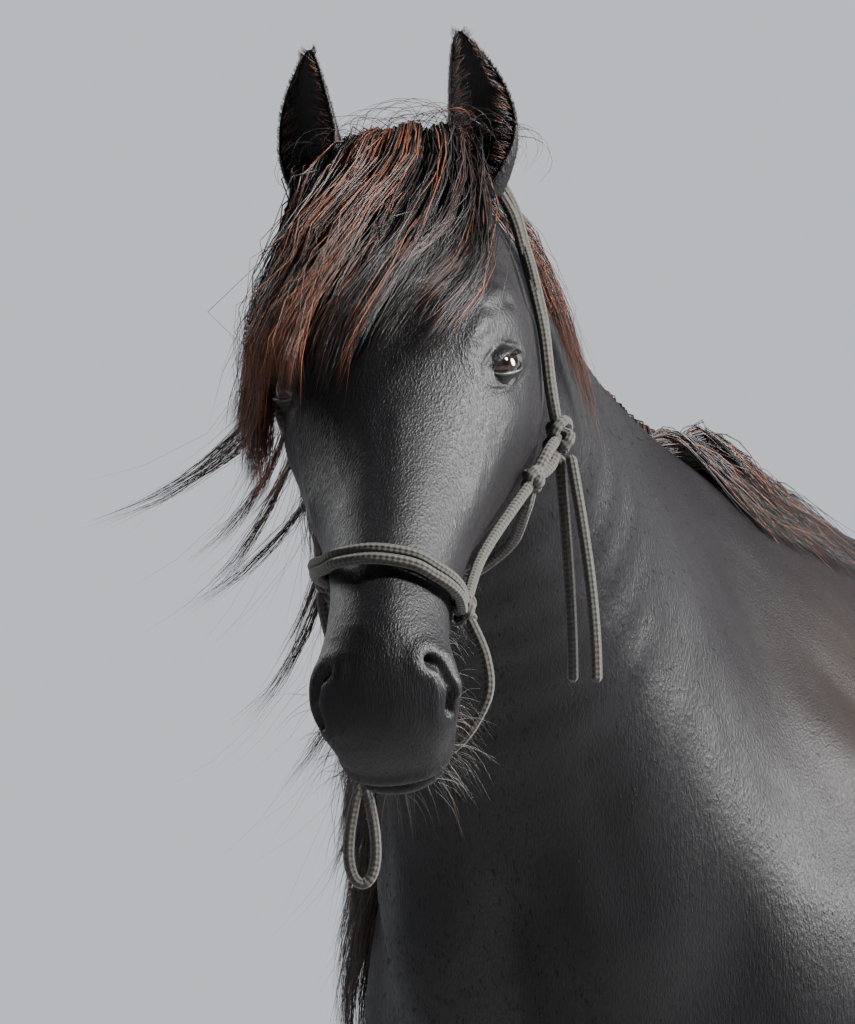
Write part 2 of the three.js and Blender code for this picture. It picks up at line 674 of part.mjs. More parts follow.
function mane() {
  const draw = draws(7);
  const locks = [];
  for (let layer = 0; layer < 2; layer++)
    for (let i = 0; i < MANE.count; i++) {
      const u = clamp01((i + 0.5 * layer + 0.16 * draw()) / MANE.count);
      const t = lerp(MANE.from, MANE.to, u);
      const sideways = overTrunk(t - 0.01, 0, 0).sub(overTrunk(t + 0.01, 0, 0)).normalize();
      const blow = (i + 2 * layer) % 3 ? 0.16 : 0.95 - 0.3 * u;
      const reach = 0.78 + 0.15 * layer + 0.12 * draw();
      const path = manePath(u, 2 + MANE.layer * layer, reach, 14 * (draw() - 0.5), blow);
      locks.push(lock(path, MANE.wide * (0.85 + 0.2 * draw()), MANE.thick, sideways, 4));
    }
  return join([...locks, ...withersTuft()]).simplify(HAIR_SLIVER);
}

// A tuft that the wind lays over the near side of the withers
const TUFT = [[0.68, 0.035], [0.655, 0.05], [0.63, 0.035], [0.605, 0.045]];
function withersTuft() {
  return TUFT.map(([t, round], i) => lock([
    overTrunk(t, 0, -MANE.sunk),
    overTrunk(t - 0.02, round * 0.5, 14),
    overTrunk(t - 0.055, round, 22),
    overTrunk(t - 0.1, round + 0.018, 20),
    overTrunk(t - 0.14 - 0.01 * (i % 2), round + 0.034, 12),
  ], 22, 10, vec(0.8, 0.2, -0.5), 5));
}

// Forelock: locks from between the ears over the right side of the forehead
const FORELOCK = { count: 10, wide: 17, thick: 5, layer: 7.5 };
function forelockPath(u, lift, far) {
  const places = [
    [-8 + 16 * u, lerp(0.09, -0.11, u), -14],
    [30, lerp(0.09, -0.15, u), 7],
    [lerp(60, 90, far), lerp(0.07, -0.2, u), 10],
    [lerp(100, 160, far), lerp(0.05, -0.235, u), 11],
    [lerp(140, 225, far), lerp(0.025, -0.265, u), 12],
    [lerp(160, lerp(280, 305, u), far), lerp(0, -0.3, u), lerp(8, 34, u)],
  ];
  return places.map(([down, round, height]) => headPlace(overHead(down, round, height + lift)));
}

function forelock() {
  const draw = draws(3);
  const locks = [];
  for (let i = 0; i < FORELOCK.count; i++) {
    const u = (i + 0.3 * draw()) / FORELOCK.count;
    const middle = lerp(0.06, -0.2, u);
    const above = headPlace(overHead(100, middle + 0.02, 0));
    const sideways = above.sub(headPlace(overHead(100, middle - 0.02, 0)));
    const path = forelockPath(u, FORELOCK.layer * (i % 3), 0.8 + 0.2 * draw());
    locks.push(lock(path, FORELOCK.wide * (0.85 + 0.3 * draw()), FORELOCK.thick, sideways.normalize(), 5));
  }
  return join(locks).simplify(HAIR_SLIVER);
}

// The row of a leg's table at a height
function legRow(table, high) {
  const i = table.findIndex((row) => row[2] <= high);
  if (i < 1) return table[i < 0 ? table.length - 1 : 0];
  const share = (table[i - 1][2] - high) / (table[i - 1][2] - table[i][2]);
  return table[i].map((value, k) => lerp(table[i - 1][k], value, share));
}

// Feather: locks that grow behind and beside the fetlock and fall over the hoof
// height, half width, half depth, how far behind the leg
const FEATHER = [
  [330, 32, 40, 6], [270, 44, 52, 20], [215, 56, 62, 36],
  [160, 66, 68, 42], [110, 74, 72, 38], [60, 80, 76, 30],
];
const FEATHER_LOCKS = { count: 9, wide: 24, thick: 7, low: 36 };
function feather(table, side, ahead, seed) {
  const draw = draws(seed);
  const rows = track(FEATHER);
  const { count, wide, thick, low } = FEATHER_LOCKS;
  const locks = [];
  for (let i = 0; i < count; i++) {
    const angle = Math.PI * (1 + 0.86 * ((2 * i + 1) / count - 1)) + 0.15 * (draw() - 0.5);
    const behind = (1 - Math.cos(angle)) / 2;
    const top = lerp(150, 300, behind * behind) + 20 * draw() + (i % 2 ? 26 : 0);
    const bottom = low + 26 * draw();
    const away = vec(Math.sin(angle) * side, -Math.cos(angle), 0);
    const places = [0, 0.3, 0.65, 1].map((share) => {
      const high = lerp(top, bottom, share);
      const leg = legRow(table, high);
      const [, wideAt, deepAt, back] = rows((FEATHER[0][0] - high) / (FEATHER[0][0] - FEATHER[5][0]));
      const spread = share ? 1 + 0.13 * (i % 2) : 0;
      const across = lerp(leg[3] * 0.6, wideAt, spread);
      const deep = lerp(leg[4] * 0.6, deepAt, spread);
      const x = (leg[0] + Math.sin(angle) * across) * side;
      const y = leg[1] - Math.cos(angle) * deep + back * behind * spread;
      return stance(vec(x, y, high), table, ahead);
    });
    locks.push(lock(places, wide * (0.85 + 0.3 * draw()), thick, vec(away.y, -away.x, 0), 4));
  }
  return join(locks).simplify(HAIR_SLIVER);
}

// Halter, in the head's frame
const NOSE_ROUTE = [
  [-0.31, 374], [-0.22, 402], [-0.12, 433], [0, 451], [0.12, 455], [0.22, 447], [0.31, 433],
];
const NOSE_STRANDS = [0, 2 * ROPE + 0.6];
const LEFT_NOSE_KNOT = overHead(437, 0.32, 8);
const RIGHT_NOSE_KNOT = overHead(380, -0.32, 8);
const LEFT_SMALL_KNOT = overHead(252, 0.315, 10);
const RIGHT_SMALL_KNOT = overHead(262, -0.34, 8);
const LEFT_TIE_KNOT = overHead(193, 0.315, 14);
const RIGHT_TIE_KNOT = overHead(172, -0.36, 10);
const CHIN_KNOT = vec(-40, 508, -190);
const CROWN = [
  ...[[165, 0.272], [125, 0.235], [85, 0.215], [45, 0.215]]
    .map(([down, round]) => overHead(down, round, ROPE + 1.5)),
  vec(88, 6, -66), vec(66, -28, -48), vec(34, -50, -34), vec(0, -56, -31),
];

const ropePath = (places) => places.map((p) => headPlace(p));

// A rope laid over the skin between two places, through shares round and distances down the face.
const overSkin = (places, lift = ROPE + 2.2, count = 13) => {
  const along = track(places);
  return Array.from({ length: count }, (_, i) => {
    const [round, down] = along(i / (count - 1));
    return overHead(down, round, lift);
  });
};

function noseband(grow) {
  const strands = NOSE_STRANDS.map((shift) =>
    cord(ropePath(overSkin(NOSE_ROUTE.map(([round, down]) => [round, down + shift]))), ROPE + grow, 13));
  const knots = [LEFT_NOSE_KNOT, RIGHT_NOSE_KNOT].map((p) => knot(headPlace(p), 11 + grow));
  return join([...strands, ...knots]);
}

function cheek(side, noseKnot, smallKnot, tieKnot, middle, grow) {
  const between = overHead(middle, side * 0.325, ROPE + 2.5);
  const run = cord(ropePath([noseKnot, between, smallKnot]), ROPE + grow, 5);
  const pair = [-1, 1].map((shift) => cord(ropePath([
    smallKnot,
    smallKnot.clone().lerp(tieKnot, 0.5).add(vec(side * 3, 0, shift * 8)),
    tieKnot,
  ]), ROPE + grow, 3));
  const tieSize = side > 0 ? 16 : 11;
  const knots = [knot(headPlace(smallKnot), 10 + grow), knot(headPlace(tieKnot), tieSize + grow)];
  return join([run, ...pair, ...knots]);
}

function crown(grow) {
  const right = CROWN.slice(0, -1).map((p) => mirror(p, -1)).reverse();
  return join([-1, 1].map((shift) => {
    const places = [LEFT_TIE_KNOT, ...CROWN, ...right, RIGHT_TIE_KNOT]
      .map((p, i, all) => (i % (all.length - 1) ? p.clone().add(vec(0, shift * 5.2, -shift * 1)) : p));
    return cord(ropePath(places), ROPE + grow, 20);
  }));
}

function chinRope(grow) {
  const places = [LEFT_NOSE_KNOT, vec(67, 466, -124), vec(62, 490, -150), vec(24, 508, -184), CHIN_KNOT,
    vec(-60, 480, -172), vec(-64, 428, -150), vec(-70, 390, -116), RIGHT_NOSE_KNOT];
  return join([cord(ropePath(places), ROPE + grow, 14), knot(headPlace(CHIN_KNOT), 13 + grow)]);
}

function throatRope(grow) {
  const places = [LEFT_SMALL_KNOT, vec(86, 262, -170), vec(58, 250, -226), vec(0, 244, -262),
    vec(-58, 236, -226), vec(-86, 246, -170), RIGHT_SMALL_KNOT];
  return cord(ropePath(places), ROPE + grow, 14);
}

const HALTER = {
  halter_cheek_left: (grow) => cheek(1, LEFT_NOSE_KNOT, LEFT_SMALL_KNOT, LEFT_TIE_KNOT, 356, grow),
  halter_cheek_right: (grow) => cheek(-1, RIGHT_NOSE_KNOT, RIGHT_SMALL_KNOT, RIGHT_TIE_KNOT, 312, grow),
  halter_noseband: noseband,
  halter_crown: crown,
  halter_chin_rope: chinRope,
  halter_throat_rope: throatRope,
};

// Free ends of rope: two hang from the tie knot, one loop hangs under the chin
const TIE_DROP = 190;
const CHIN_DROP = 84;
function tieEnd(shift) {
  const start = headPlace(LEFT_TIE_KNOT).add(vec(8 + shift, -2, -15));
  const places = [0, 0.12, 0.3, 0.55, 0.8, 1].map((share) =>
    start.clone().add(vec((18 + 6 * shift / 5) * Math.sin(share * 1.6), 4 * share, -TIE_DROP * share)));
  return places;
}

function chinLoop() {
  const top = headPlace(CHIN_KNOT).add(vec(-6, -4, -13));
  const places = [];
  for (let i = 0; i <= 12; i++) {
    const turn = (i / 12) * 2 * Math.PI;
    const half = 15 * Math.sin(turn) * (0.35 + 0.65 * (1 - Math.cos(turn)) / 2);
    places.push(top.clone().add(vec(-half * 0.8, -half * 0.6, -CHIN_DROP * (1 - Math.cos(turn)) / 2)));
  }
  places[0].add(vec(-4, -3, 0));
  places[12].add(vec(4, 3, 0));
  return places;
}

// Assembly
const trunkSolid = trunk();
const trunkClear = trunk(GAP);
const headClear = head(GAP);

// Planes that part the neck from the torso and the head from the neck
function planeThrough(top, bottom, side) {
  const normal = side.clone().cross(bottom.clone().sub(top)).normalize();
  if (normal.y > 0) normal.negate();
  return { normal, offset: normal.dot(top) };
}
const withersCut = planeThrough(vec(0, -62, 1640), vec(0, -480, 1120), vec(1, 0, 0));
const pollSide = headPlace(vec(100, 0, -150)).sub(headPlace(vec(-100, 0, -150)));
const pollCut = planeThrough(headPlace(vec(0, -66, -30)), headPlace(vec(0, 90, -320)), pollSide);
const ahead = (made, cut, gap = GAP / 2) => made.trimByPlane(cut.normal.toArray(), cut.offset + gap);
const behind = (made, cut, gap = GAP / 2) =>
  made.trimByPlane(cut.normal.clone().negate().toArray(), -cut.offset + gap);

const eyeHoles = join([1, -1].map((side) => eyeball(side, GAP)));
const headForm = join([head(), lids(1), lids(-1)])
  .subtract(join([eyeHoles, nostril(1), nostril(-1), mouth()]));
const headFlesh = ahead(join([headForm, ahead(trunkSolid, pollCut)]), pollCut);
const neckFlesh = behind(ahead(trunkSolid, withersCut), pollCut);
const torsoFlesh = behind(trunkSolid, withersCut);

// What hair and ropes keep clear of, grown by the gap
const skinClear = join([headClear, trunkClear]);
const torsoClear = behind(trunkClear, withersCut, -GAP / 2);
const frontClear = ahead(skinClear, pollCut, -GAP / 2);
const earsClear = join([earBlock(1), earBlock(-1)]);
const ropesClear = join(Object.values(HALTER).map((make) => make(GAP)));

const forelockHair = forelock().subtract(join([earsClear, ropesClear, eyeHoles]));
const maneHair = mane().subtract(join([frontClear, earsClear, ropesClear, torsoClear]));

add("torso", torsoFlesh, coat);
add("neck", join([neckFlesh, maneHair]), coat);
add("head", join([headFlesh, ahead(forelockHair, pollCut)]), coat);
["left", "right"].forEach((name, i) => {
  add(`eye_${name}`, eyeball(i ? -1 : 1), eyeGlass);
  add(`ear_${name}`, ear(i ? -1 : 1).subtract(skinClear), coat);
});
for (const [name, table, side, forward, knee] of LEGS) {
  const whole = leg(table, side, forward).subtract(trunkClear);
  const kneeHeight = table[knee][2];
  const seed = 20 + LEGS.findIndex((row) => row[0] === name);
  const shank = whole.trimByPlane([0, 0, -1], -kneeHeight + GAP / 2);
  const lower = join([shank, feather(table, side, forward, seed)]);
  add(`${name}_upper_leg`, whole.trimByPlane([0, 0, 1], kneeHeight + GAP / 2), coat);
  add(`${name}_lower_leg`, lower.subtract(hoof(table, side, forward, GAP)), coat);
  add(`${name}_hoof`, hoof(table, side, forward), horn);
}
add("tail", tail().subtract(trunkClear), hair);

let placed = join([skinClear, earsClear]);
for (const [name, make] of Object.entries(HALTER)) {
  add(name, make(0).subtract(placed), rope);
  placed = placed.add(make(GAP));
}
const FREE_ENDS = {
  halter_tie_end_front: tieEnd(5),
  halter_tie_end_back: tieEnd(-6),
  halter_chin_loop: chinLoop(),
};
for (const [name, places] of Object.entries(FREE_ENDS))
  add(name, cord(places, ROPE, 12, 6).subtract(placed), rope);

// The origin lies under the middle of the horse, on the floor
const bounds = new THREE.Box3();
for (const mesh of horse.children)
  if (!(mesh.name in FREE_ENDS)) bounds.expandByObject(mesh);
const middle = bounds.getCenter(vec());
horse.position.set(-middle.x, -middle.y, -bounds.min.z);

export default horse;
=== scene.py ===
"""A life-size standing Friesian horse with a knotted rope halter, dressed over its solids."""
import logging
import math
from dataclasses import dataclass, field
from enum import Enum

import bmesh
import bpy
import numpy as np
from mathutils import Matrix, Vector
from mathutils.kdtree import KDTree


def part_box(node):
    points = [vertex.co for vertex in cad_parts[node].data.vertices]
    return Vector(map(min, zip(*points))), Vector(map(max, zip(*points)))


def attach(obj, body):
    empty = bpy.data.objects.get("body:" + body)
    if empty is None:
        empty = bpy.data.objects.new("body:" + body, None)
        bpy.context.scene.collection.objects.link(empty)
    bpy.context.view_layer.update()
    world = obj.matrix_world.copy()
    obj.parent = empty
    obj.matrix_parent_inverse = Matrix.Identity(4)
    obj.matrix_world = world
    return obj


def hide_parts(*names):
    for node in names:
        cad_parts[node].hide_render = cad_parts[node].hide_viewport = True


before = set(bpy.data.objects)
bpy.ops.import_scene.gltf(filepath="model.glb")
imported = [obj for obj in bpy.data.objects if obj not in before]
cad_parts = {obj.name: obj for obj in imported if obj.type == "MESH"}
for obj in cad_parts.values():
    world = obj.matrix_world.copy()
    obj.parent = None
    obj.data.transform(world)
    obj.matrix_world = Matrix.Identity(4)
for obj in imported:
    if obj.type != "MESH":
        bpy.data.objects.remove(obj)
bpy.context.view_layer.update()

log = logging.getLogger("horse")
Array = np.ndarray
Material = bpy.types.Material
Mesh = bpy.types.Mesh
Socket = bpy.types.NodeSocket
BMesh = bmesh.types.BMesh
Generator = np.random.Generator
MM = 0.001
PIECE_LIMIT = 195000
NOISE_ROUGHNESS = 0.55
GOLDEN_ANGLE = 2.39996


class Side(Enum):
    """The two sides of the horse, by the sign of their place across it."""

    LEFT = 1
    RIGHT = -1


def unit(v: Array) -> Array:
    """Returns vectors at length one."""
    return v / np.maximum(np.linalg.norm(v, axis=-1, keepdims=True), 1e-9)


def ease(t: Array | float) -> Array:
    """Returns a smooth step from 0 to 1."""
    s = np.clip(t, 0, 1)
    return s * s * (3 - 2 * s)


def mix(a: Array | float, b: Array | float, t: Array | float) -> Array:
    """Returns the blend of two values."""
    return a + (b - a) * t


def folded(p: Array) -> Array:
    """Returns points with the right side laid over the left one."""
    q = p.copy()
    q[:, 0] = np.abs(q[:, 0])
    return q


def segment_distance(p: Array, a: Array, b: Array) -> Array:
    """Returns the distance of points from the line between two places."""
    share = np.clip((p - a) @ (b - a) / max(1e-9, (b - a) @ (b - a)), 0, 1)
    return np.linalg.norm(p - a - share[:, None] * (b - a), axis=1)


def curve_between(a: Array, b: Array, slopes: tuple, f: Array) -> Array:
    """Reads a smooth curve between two values.

    Args:
        a: the values at its start.
        b: the values at its end.
        slopes: the slopes at start and end.
        f: share of the way.

    Returns:
        The values there.
    """
    rise = b - a
    first, last = slopes
    return a + first * f + (3 * rise - 2 * first - last) * f**2 + (first + last - 2 * rise) * f**3


class Track:
    """Columns of a table of stations, read smoothly at any place along it."""

    def __init__(self, rows: list) -> None:
        """Keeps the table.

        Args:
            rows: one list of numbers for each station.
        """
        self.rows = np.array(rows, float)

    def at(self, t: Array) -> Array:
        """Reads the table.

        Args:
            t: shares of the way from the first station to the last.

        Returns:
            One row for each share.
        """
        last = len(self.rows) - 1
        place = np.clip(np.asarray(t, float), 0, 1) * last
        i = np.minimum(last - 1, np.floor(place)).astype(int)
        f = (place - i)[..., None]
        a, b = self.rows[np.maximum(i - 1, 0)], self.rows[i]
        c, d = self.rows[i + 1], self.rows[np.minimum(i + 2, last)]
        return curve_between(b, c, ((c - a) / 2, (d - b) / 2), f)


def along_curve(points: Array, t: Array) -> Array:
    """Reads many smooth curves, each through its own points.

    Args:
        points: curves by points by 3.
        t: curves by samples, shares of the way.

    Returns:
        Curves by samples by 3.
    """
    last = points.shape[1] - 1
    place = np.clip(t, 0, 1) * last
    i = np.minimum(last - 1, np.floor(place)).astype(int)
    f = (place - i)[..., None]
    row = np.arange(len(points))[:, None]
    a, b = points[row, np.maximum(i - 1, 0)], points[row, i]
    c, d = points[row, i + 1], points[row, np.minimum(i + 2, last)]
    return curve_between(b, c, ((c - a) / 2, (d - b) / 2), f)


def closed_section(controls: Array, share: Array) -> Array:
    """Reads one place on each closed section curve.

    Args:
        controls: sections by control points by 3.
        share: share of the way round of each section.

    Returns:
        One point for each section.
    """
    count = controls.shape[1]
    place = (share % 1) * count
    i = np.floor(place).astype(int) % count
    w = (place - np.floor(place))[:, None]
    row = np.arange(len(controls))
    p = [controls[row, (i + k) % count] for k in (-1, 0, 1, 2)]
    step = [np.linalg.norm(p[k + 1] - p[k], axis=1, keepdims=True) for k in range(3)]
    gap = [np.maximum(length**0.5, 1e-4) for length in step]
    start = (p[1] - p[0]) / gap[0] - (p[2] - p[0]) / (gap[0] + gap[1]) + (p[2] - p[1]) / gap[1]
    end = (p[2] - p[1]) / gap[1] - (p[3] - p[1]) / (gap[1] + gap[2]) + (p[3] - p[2]) / gap[2]
    return curve_between(p[1], p[2], (start * gap[1], end * gap[1]), w)


def body_section(top: Array, low: Array, half: Array, levels: tuple, round_: Array) -> Array:
    """Reads one place on each even-sided section of the body.

    Args:
        top: the highest point of each section.
        low: the lowest one.
        half: half widths of each section.
        levels: shares of the height at which those widths lie.
        round_: share round each section, from the top over the left side.

    Returns:
        One point for each section.
    """
    flank = [mix(top, low, level) + np.outer(half[:, k], [1, 0, 0]) for k, level in enumerate(levels)]
    far = [q * [-1, 1, 1] for q in flank[::-1]]
    return closed_section(np.stack([top, *flank, low, *far], 1), round_)


def lift_of(points: Array, forms: tuple) -> Array:
    """Works out how far swellings and hollows lift points.

    Args:
        points: points by 3.
        forms: for each swelling the line along which it runs, from and to, its radius and its height.

    Returns:
        The lift of each point.
    """
    p = folded(points)
    total = np.zeros(len(p))
    for start, end, radius, height in forms:
        far = segment_distance(p, np.array(start, float), np.array(end, float)) / radius
        total += height * np.exp(-far * far)
    return total


def turn_about(p: Array, axis: int, angle: Array) -> Array:
    """Turns points about a row axis, each by its own angle.

    Args:
        p: points by 3.
        axis: 0, 1 or 2 for across, along or up.
        angle: one angle in radians for each point.

    Returns:
        The turned points.
    """
    a, b = (axis + 1) % 3, (axis + 2) % 3
    out = p.copy()
    out[:, a] = p[:, a] * np.cos(angle) - p[:, b] * np.sin(angle)
    out[:, b] = p[:, a] * np.sin(angle) + p[:, b] * np.cos(angle)
    return out


@dataclass
class Trunk:
    """Torso and neck as one run of sections, in millimetres, with the turn of the neck."""

    levels: tuple = (0.07, 0.25, 0.5, 0.75, 0.93)
    rows: tuple = (
        (1228, 1420, 1250, 1225, 20, 50, 60, 50, 22),
        (1212, 1486, 1240, 1105, 50, 122, 152, 150, 76),
        (1140, 1556, 1186, 1000, 82, 186, 232, 226, 130),
        (1020, 1604, 1055, 925, 102, 230, 280, 268, 150),
        (890, 1624, 900, 896, 110, 248, 296, 276, 146),
        (760, 1610, 760, 890, 106, 246, 296, 272, 144),
        (630, 1580, 630, 876, 95, 226, 292, 272, 142),
        (490, 1560, 490, 858, 86, 216, 306, 290, 147),
        (350, 1554, 345, 844, 82, 210, 314, 302, 150),
        (210, 1568, 190, 838, 72, 192, 308, 302, 148),
        (100, 1594, 40, 844, 56, 168, 292, 290, 145),
        (25, 1616, -100, 862, 44, 150, 276, 276, 150),
        (-30, 1626, -215, 896, 39, 142, 264, 272, 164),
        (-78, 1634, -325, 962, 38, 132, 244, 264, 178),
        (-128, 1645, -412, 1050, 38, 121, 216, 246, 178),
        (-190, 1666, -466, 1152, 38, 111, 184, 212, 152),
        (-262, 1700, -508, 1250, 38, 104, 158, 174, 122),
        (-338, 1744, -546, 1338, 38, 98, 140, 146, 102),
        (-424, 1793, -586, 1418, 37, 93, 126, 127, 90),
        (-514, 1842, -628, 1488, 36, 88, 115, 115, 82),
        (-604, 1886, -668, 1550, 34, 84, 106, 106, 76),
        (-694, 1916, -702, 1606, 33, 79, 98, 97, 69),
        (-780, 1927, -734, 1654, 31, 72, 89, 86, 60),
        (-843, 1906, -767, 1698, 26, 58, 72, 68, 46),
    )
    forms: tuple = (
        ((110, -90, 1560), (245, -330, 1140), 80, 20),
        ((262, -150, 1210), (250, -190, 1010), 90, 20),
        ((250, 30, 1120), (240, 10, 960), 70, -12),
        ((110, -230, 1570), (190, -440, 1180), 42, -13),
        ((74, -480, 1240), (84, -380, 990), 70, 24),
        ((0, -510, 1250), (0, -380, 960), 34, -20),
        ((262, 560, 1350), (250, 650, 1130), 105, -22),
        ((215, 750, 1560), (215, 760, 1520), 62, 14),
        ((110, 860, 1610), (150, 1080, 1480), 120, 12),
        ((240, 900, 1290), (215, 890, 1060), 130, 20),
        ((140, 1160, 1390), (150, 1130, 1080), 90, 16),
    )
    bend_from: float = 0.64
    bend_steps: int = 30
    head_turn: float = 26.0
    head_roll: float = 6.5

    def __post_init__(self) -> None:
        """Reads the stations and works out the turn of the neck."""
        self.stations = Track(list(self.rows))
        place = self.middle(np.array([self.bend_from]))[0]
        table = []
        for i in range(self.bend_steps + 1):
            share = i / self.bend_steps
            turn = mix(float(ease(share)), math.sin(share * math.pi / 2), 0.5)
            yaw = math.radians(self.head_turn) * turn
            table.append([*place, yaw, math.radians(self.head_roll) * turn])
            pair = self.middle(mix(self.bend_from, 1, np.array([share, (i + 1) / self.bend_steps])))
            place = place + turn_about(pair[1:] - pair[:1], 2, np.array([yaw]))[0]
        self.turn = Track(table)

    def middle(self, t: Array) -> Array:
        """Returns the middle of the section at each share."""
        row = self.stations.at(t)
        return np.stack([row[:, 0] * 0, (row[:, 0] + row[:, 2]) / 2, (row[:, 1] + row[:, 3]) / 2], 1)

    def turned(self, p: Array, t: Array) -> Array:
        """Takes points of the straight horse along with the turn of the neck.

        Args:
            p: points of the straight horse.
            t: their shares of the trunk's length.

        Returns:
            The turned points.
        """
        share = np.clip((t - self.bend_from) / (1 - self.bend_from), 0, 1)
        row = self.turn.at(share)
        offset = p - self.middle(mix(self.bend_from, 1, share))
        offset = turn_about(offset, 1, -row[:, 4])
        return row[:, :3] + turn_about(offset, 2, row[:, 3])

    def point(self, t: Array, round_: Array, height: Array | float = 0) -> Array:
        """Returns points over the trunk.

        Args:
            t: share of the length, from the rump to the poll.
            round_: share round the section, from the top over the left side.
            height: height over the surface.

        Returns:
            One point for each share.
        """
        t, round_ = np.broadcast_arrays(np.asarray(t, float), np.asarray(round_, float))
        shape = t.shape
        t, round_ = t.ravel(), round_.ravel()
        row = self.stations.at(t)
        top = np.stack([row[:, 0] * 0, row[:, 0], row[:, 1]], 1)
        low = np.stack([row[:, 0] * 0, row[:, 2], row[:, 3]], 1)
        p = body_section(top, low, row[:, 4:], self.levels, round_)
        out = unit(p - self.middle(t))
        rise = lift_of(p, self.forms) + np.broadcast_to(height, shape).ravel()
        return self.turned(p + out * rise[:, None], t).reshape(*shape, 3)


@dataclass
class Head:
    """The head as sections down the face, in its own frame: across, down the face, out of the face."""

    trunk: Trunk
    pitch: float = 47.0
    poll: tuple = (0, -868, 1917)
    levels: tuple = (0.05, 0.16, 0.28, 0.42, 0.58, 0.76, 0.92)
    rows: tuple = (
        (-46, -70, -176, 22, 40, 50, 54, 54, 46, 24),
        (-24, -42, -200, 32, 54, 66, 70, 70, 60, 32),
        (0, -20, -220, 40, 64, 76, 80, 80, 68, 38),
        (40, 0, -246, 52, 78, 88, 90, 86, 70, 38),
        (85, 10, -266, 60, 88, 97, 99, 95, 74, 38),
        (130, 14, -276, 64, 96, 103, 104, 98, 74, 36),
        (172, 15, -274, 64, 101, 107, 106, 98, 72, 34),
        (212, 11, -263, 58, 98, 106, 104, 95, 68, 32),
        (255, 5, -241, 48, 84, 96, 97, 86, 59, 29),
        (300, 0, -213, 40, 67, 81, 82, 72, 50, 26),
        (350, -4, -186, 34, 54, 68, 69, 60, 44, 26),
        (400, -5, -165, 31, 46, 57, 59, 54, 42, 27),
        (450, -4, -150, 28, 42, 51, 54, 50, 42, 29),
        (500, -4, -142, 27, 43, 53, 56, 51, 43, 30),
        (535, -9, -141, 28, 47, 58, 60, 52, 44, 31),
        (560, -20, -145, 28, 46, 58, 60, 52, 44, 32),
        (578, -36, -147, 24, 40, 51, 54, 49, 41, 29),
        (592, -56, -140, 17, 30, 39, 43, 40, 34, 22),
        (600, -82, -128, 7, 14, 19, 21, 20, 17, 10),
    )
    forms: tuple = (
        ((84, 172, 0), (70, 200, 6), 30, 7),
        ((102, 206, -44), (104, 210, -50), 24, -8),
        ((60, 122, 10), (66, 132, 6), 26, -7),
        ((94, 255, -70), (70, 350, -68), 18, 6),
        ((92, 110, -160), (88, 200, -190), 62, 8),
        ((62, 535, -40), (62, 560, -58), 18, 6),
        ((38, 572, -34), (42, 582, -58), 15, 5),
        ((30, 586, -96), (0, 592, -96), 20, 5),
        ((28, 574, -138), (0, 578, -140), 20, 3),
        ((0, 552, -152), (0, 560, -154), 26, 6),
        ((48, 440, -80), (46, 490, -76), 30, -4),
    )

    def __post_init__(self) -> None:
        """Reads the stations and fixes the head's frame."""
        self.stations = Track(list(self.rows))
        a = math.radians(self.pitch)
        self.down = np.array([0, -math.cos(a), -math.sin(a)])
        self.out = np.array([0, -math.sin(a), math.cos(a)])
        corner = self.place(np.array([[0, 0, 0], [1, 0, 0], [0, 1, 0], [0, 0, 1.0]]))
        self.start, self.axes = corner[0], corner[1:] - corner[0]

    def place(self, p: Array) -> Array:
        """Returns points of the head's frame in the horse's frame."""
        q = np.array(self.poll) + np.outer(p[:, 1], self.down) + np.outer(p[:, 2], self.out)
        q[:, 0] += p[:, 0]
        return self.trunk.turned(q, np.ones(len(q)))

    def inverse(self, p: Array) -> Array:
        """Returns points of the horse's frame in the head's frame."""
        return (p - self.start) @ self.axes.T

    def share(self, down: Array) -> Array:
        """Returns the share of the table at distances down the face."""
        return np.interp(down, [r[0] for r in self.rows], np.linspace(0, 1, len(self.rows)))

    def over(self, down: Array, round_: Array, height: Array | float = 0) -> Array:
        """Returns points over the head, in its own frame.

        Args:
            down: distance down the face.
            round_: share round the section, from the top over the left side.
            height: height over the surface.

        Returns:
            One point for each distance.
        """
        down, round_ = np.broadcast_arrays(np.asarray(down, float), np.asarray(round_, float))
        shape = down.shape
        down, round_ = down.ravel(), round_.ravel()
        row = self.stations.at(self.share(down))
        top = np.stack([row[:, 0] * 0, row[:, 0], row[:, 1]], 1)
        low = np.stack([row[:, 0] * 0, row[:, 0], row[:, 2]], 1)
        p = body_section(top, low, row[:, 3:], self.levels, round_)
        out = p - (top + low) / 2
        out[:, 1] = 0
        out[:, 2] *= 0.7
        rise = lift_of(p, self.forms) + np.broadcast_to(height, shape).ravel()
        return (p + unit(out) * rise[:, None]).reshape(*shape, 3)

    def outside(self, down: Array | float, round_: Array | float, height: Array | float) -> Array:
        """Finds points at heights square over the sections of the head.

        Args:
            down: distance down the face.
            round_: share round the section.
            height: height over the surface.

        Returns:
            Points in the head's frame.
        """
        step = 0.004
        p = self.over(down, round_)
        along = self.over(down, np.asarray(round_) + step) - self.over(down, np.asarray(round_) - step)
        out = unit(np.stack([along[..., 2], 0 * along[..., 0], -along[..., 0]], -1))
        flat = np.zeros(np.shape(round_))
        middle = (self.over(down, flat) + self.over(down, flat + 0.5)) / 2
        outward = np.sign((out * (p - middle)).sum(-1, keepdims=True))
        return p + out * outward * np.asarray(height, float)[..., None]

    def point(self, down: Array, round_: Array, height: Array | float = 0) -> Array:
        """Returns points over the head in the horse's frame."""
        p = self.over(down, round_, height)
        return self.place(p.reshape(-1, 3)).reshape(p.shape)


class Limb(Enum):
    """The four legs: side, whether it is a hind leg, and how far its hoof stands ahead of square."""

    FORE_LEFT = (1, False, 46)
    FORE_RIGHT = (-1, False, -34)
    HIND_LEFT = (1, True, -58)
    HIND_RIGHT = (-1, True, 62)


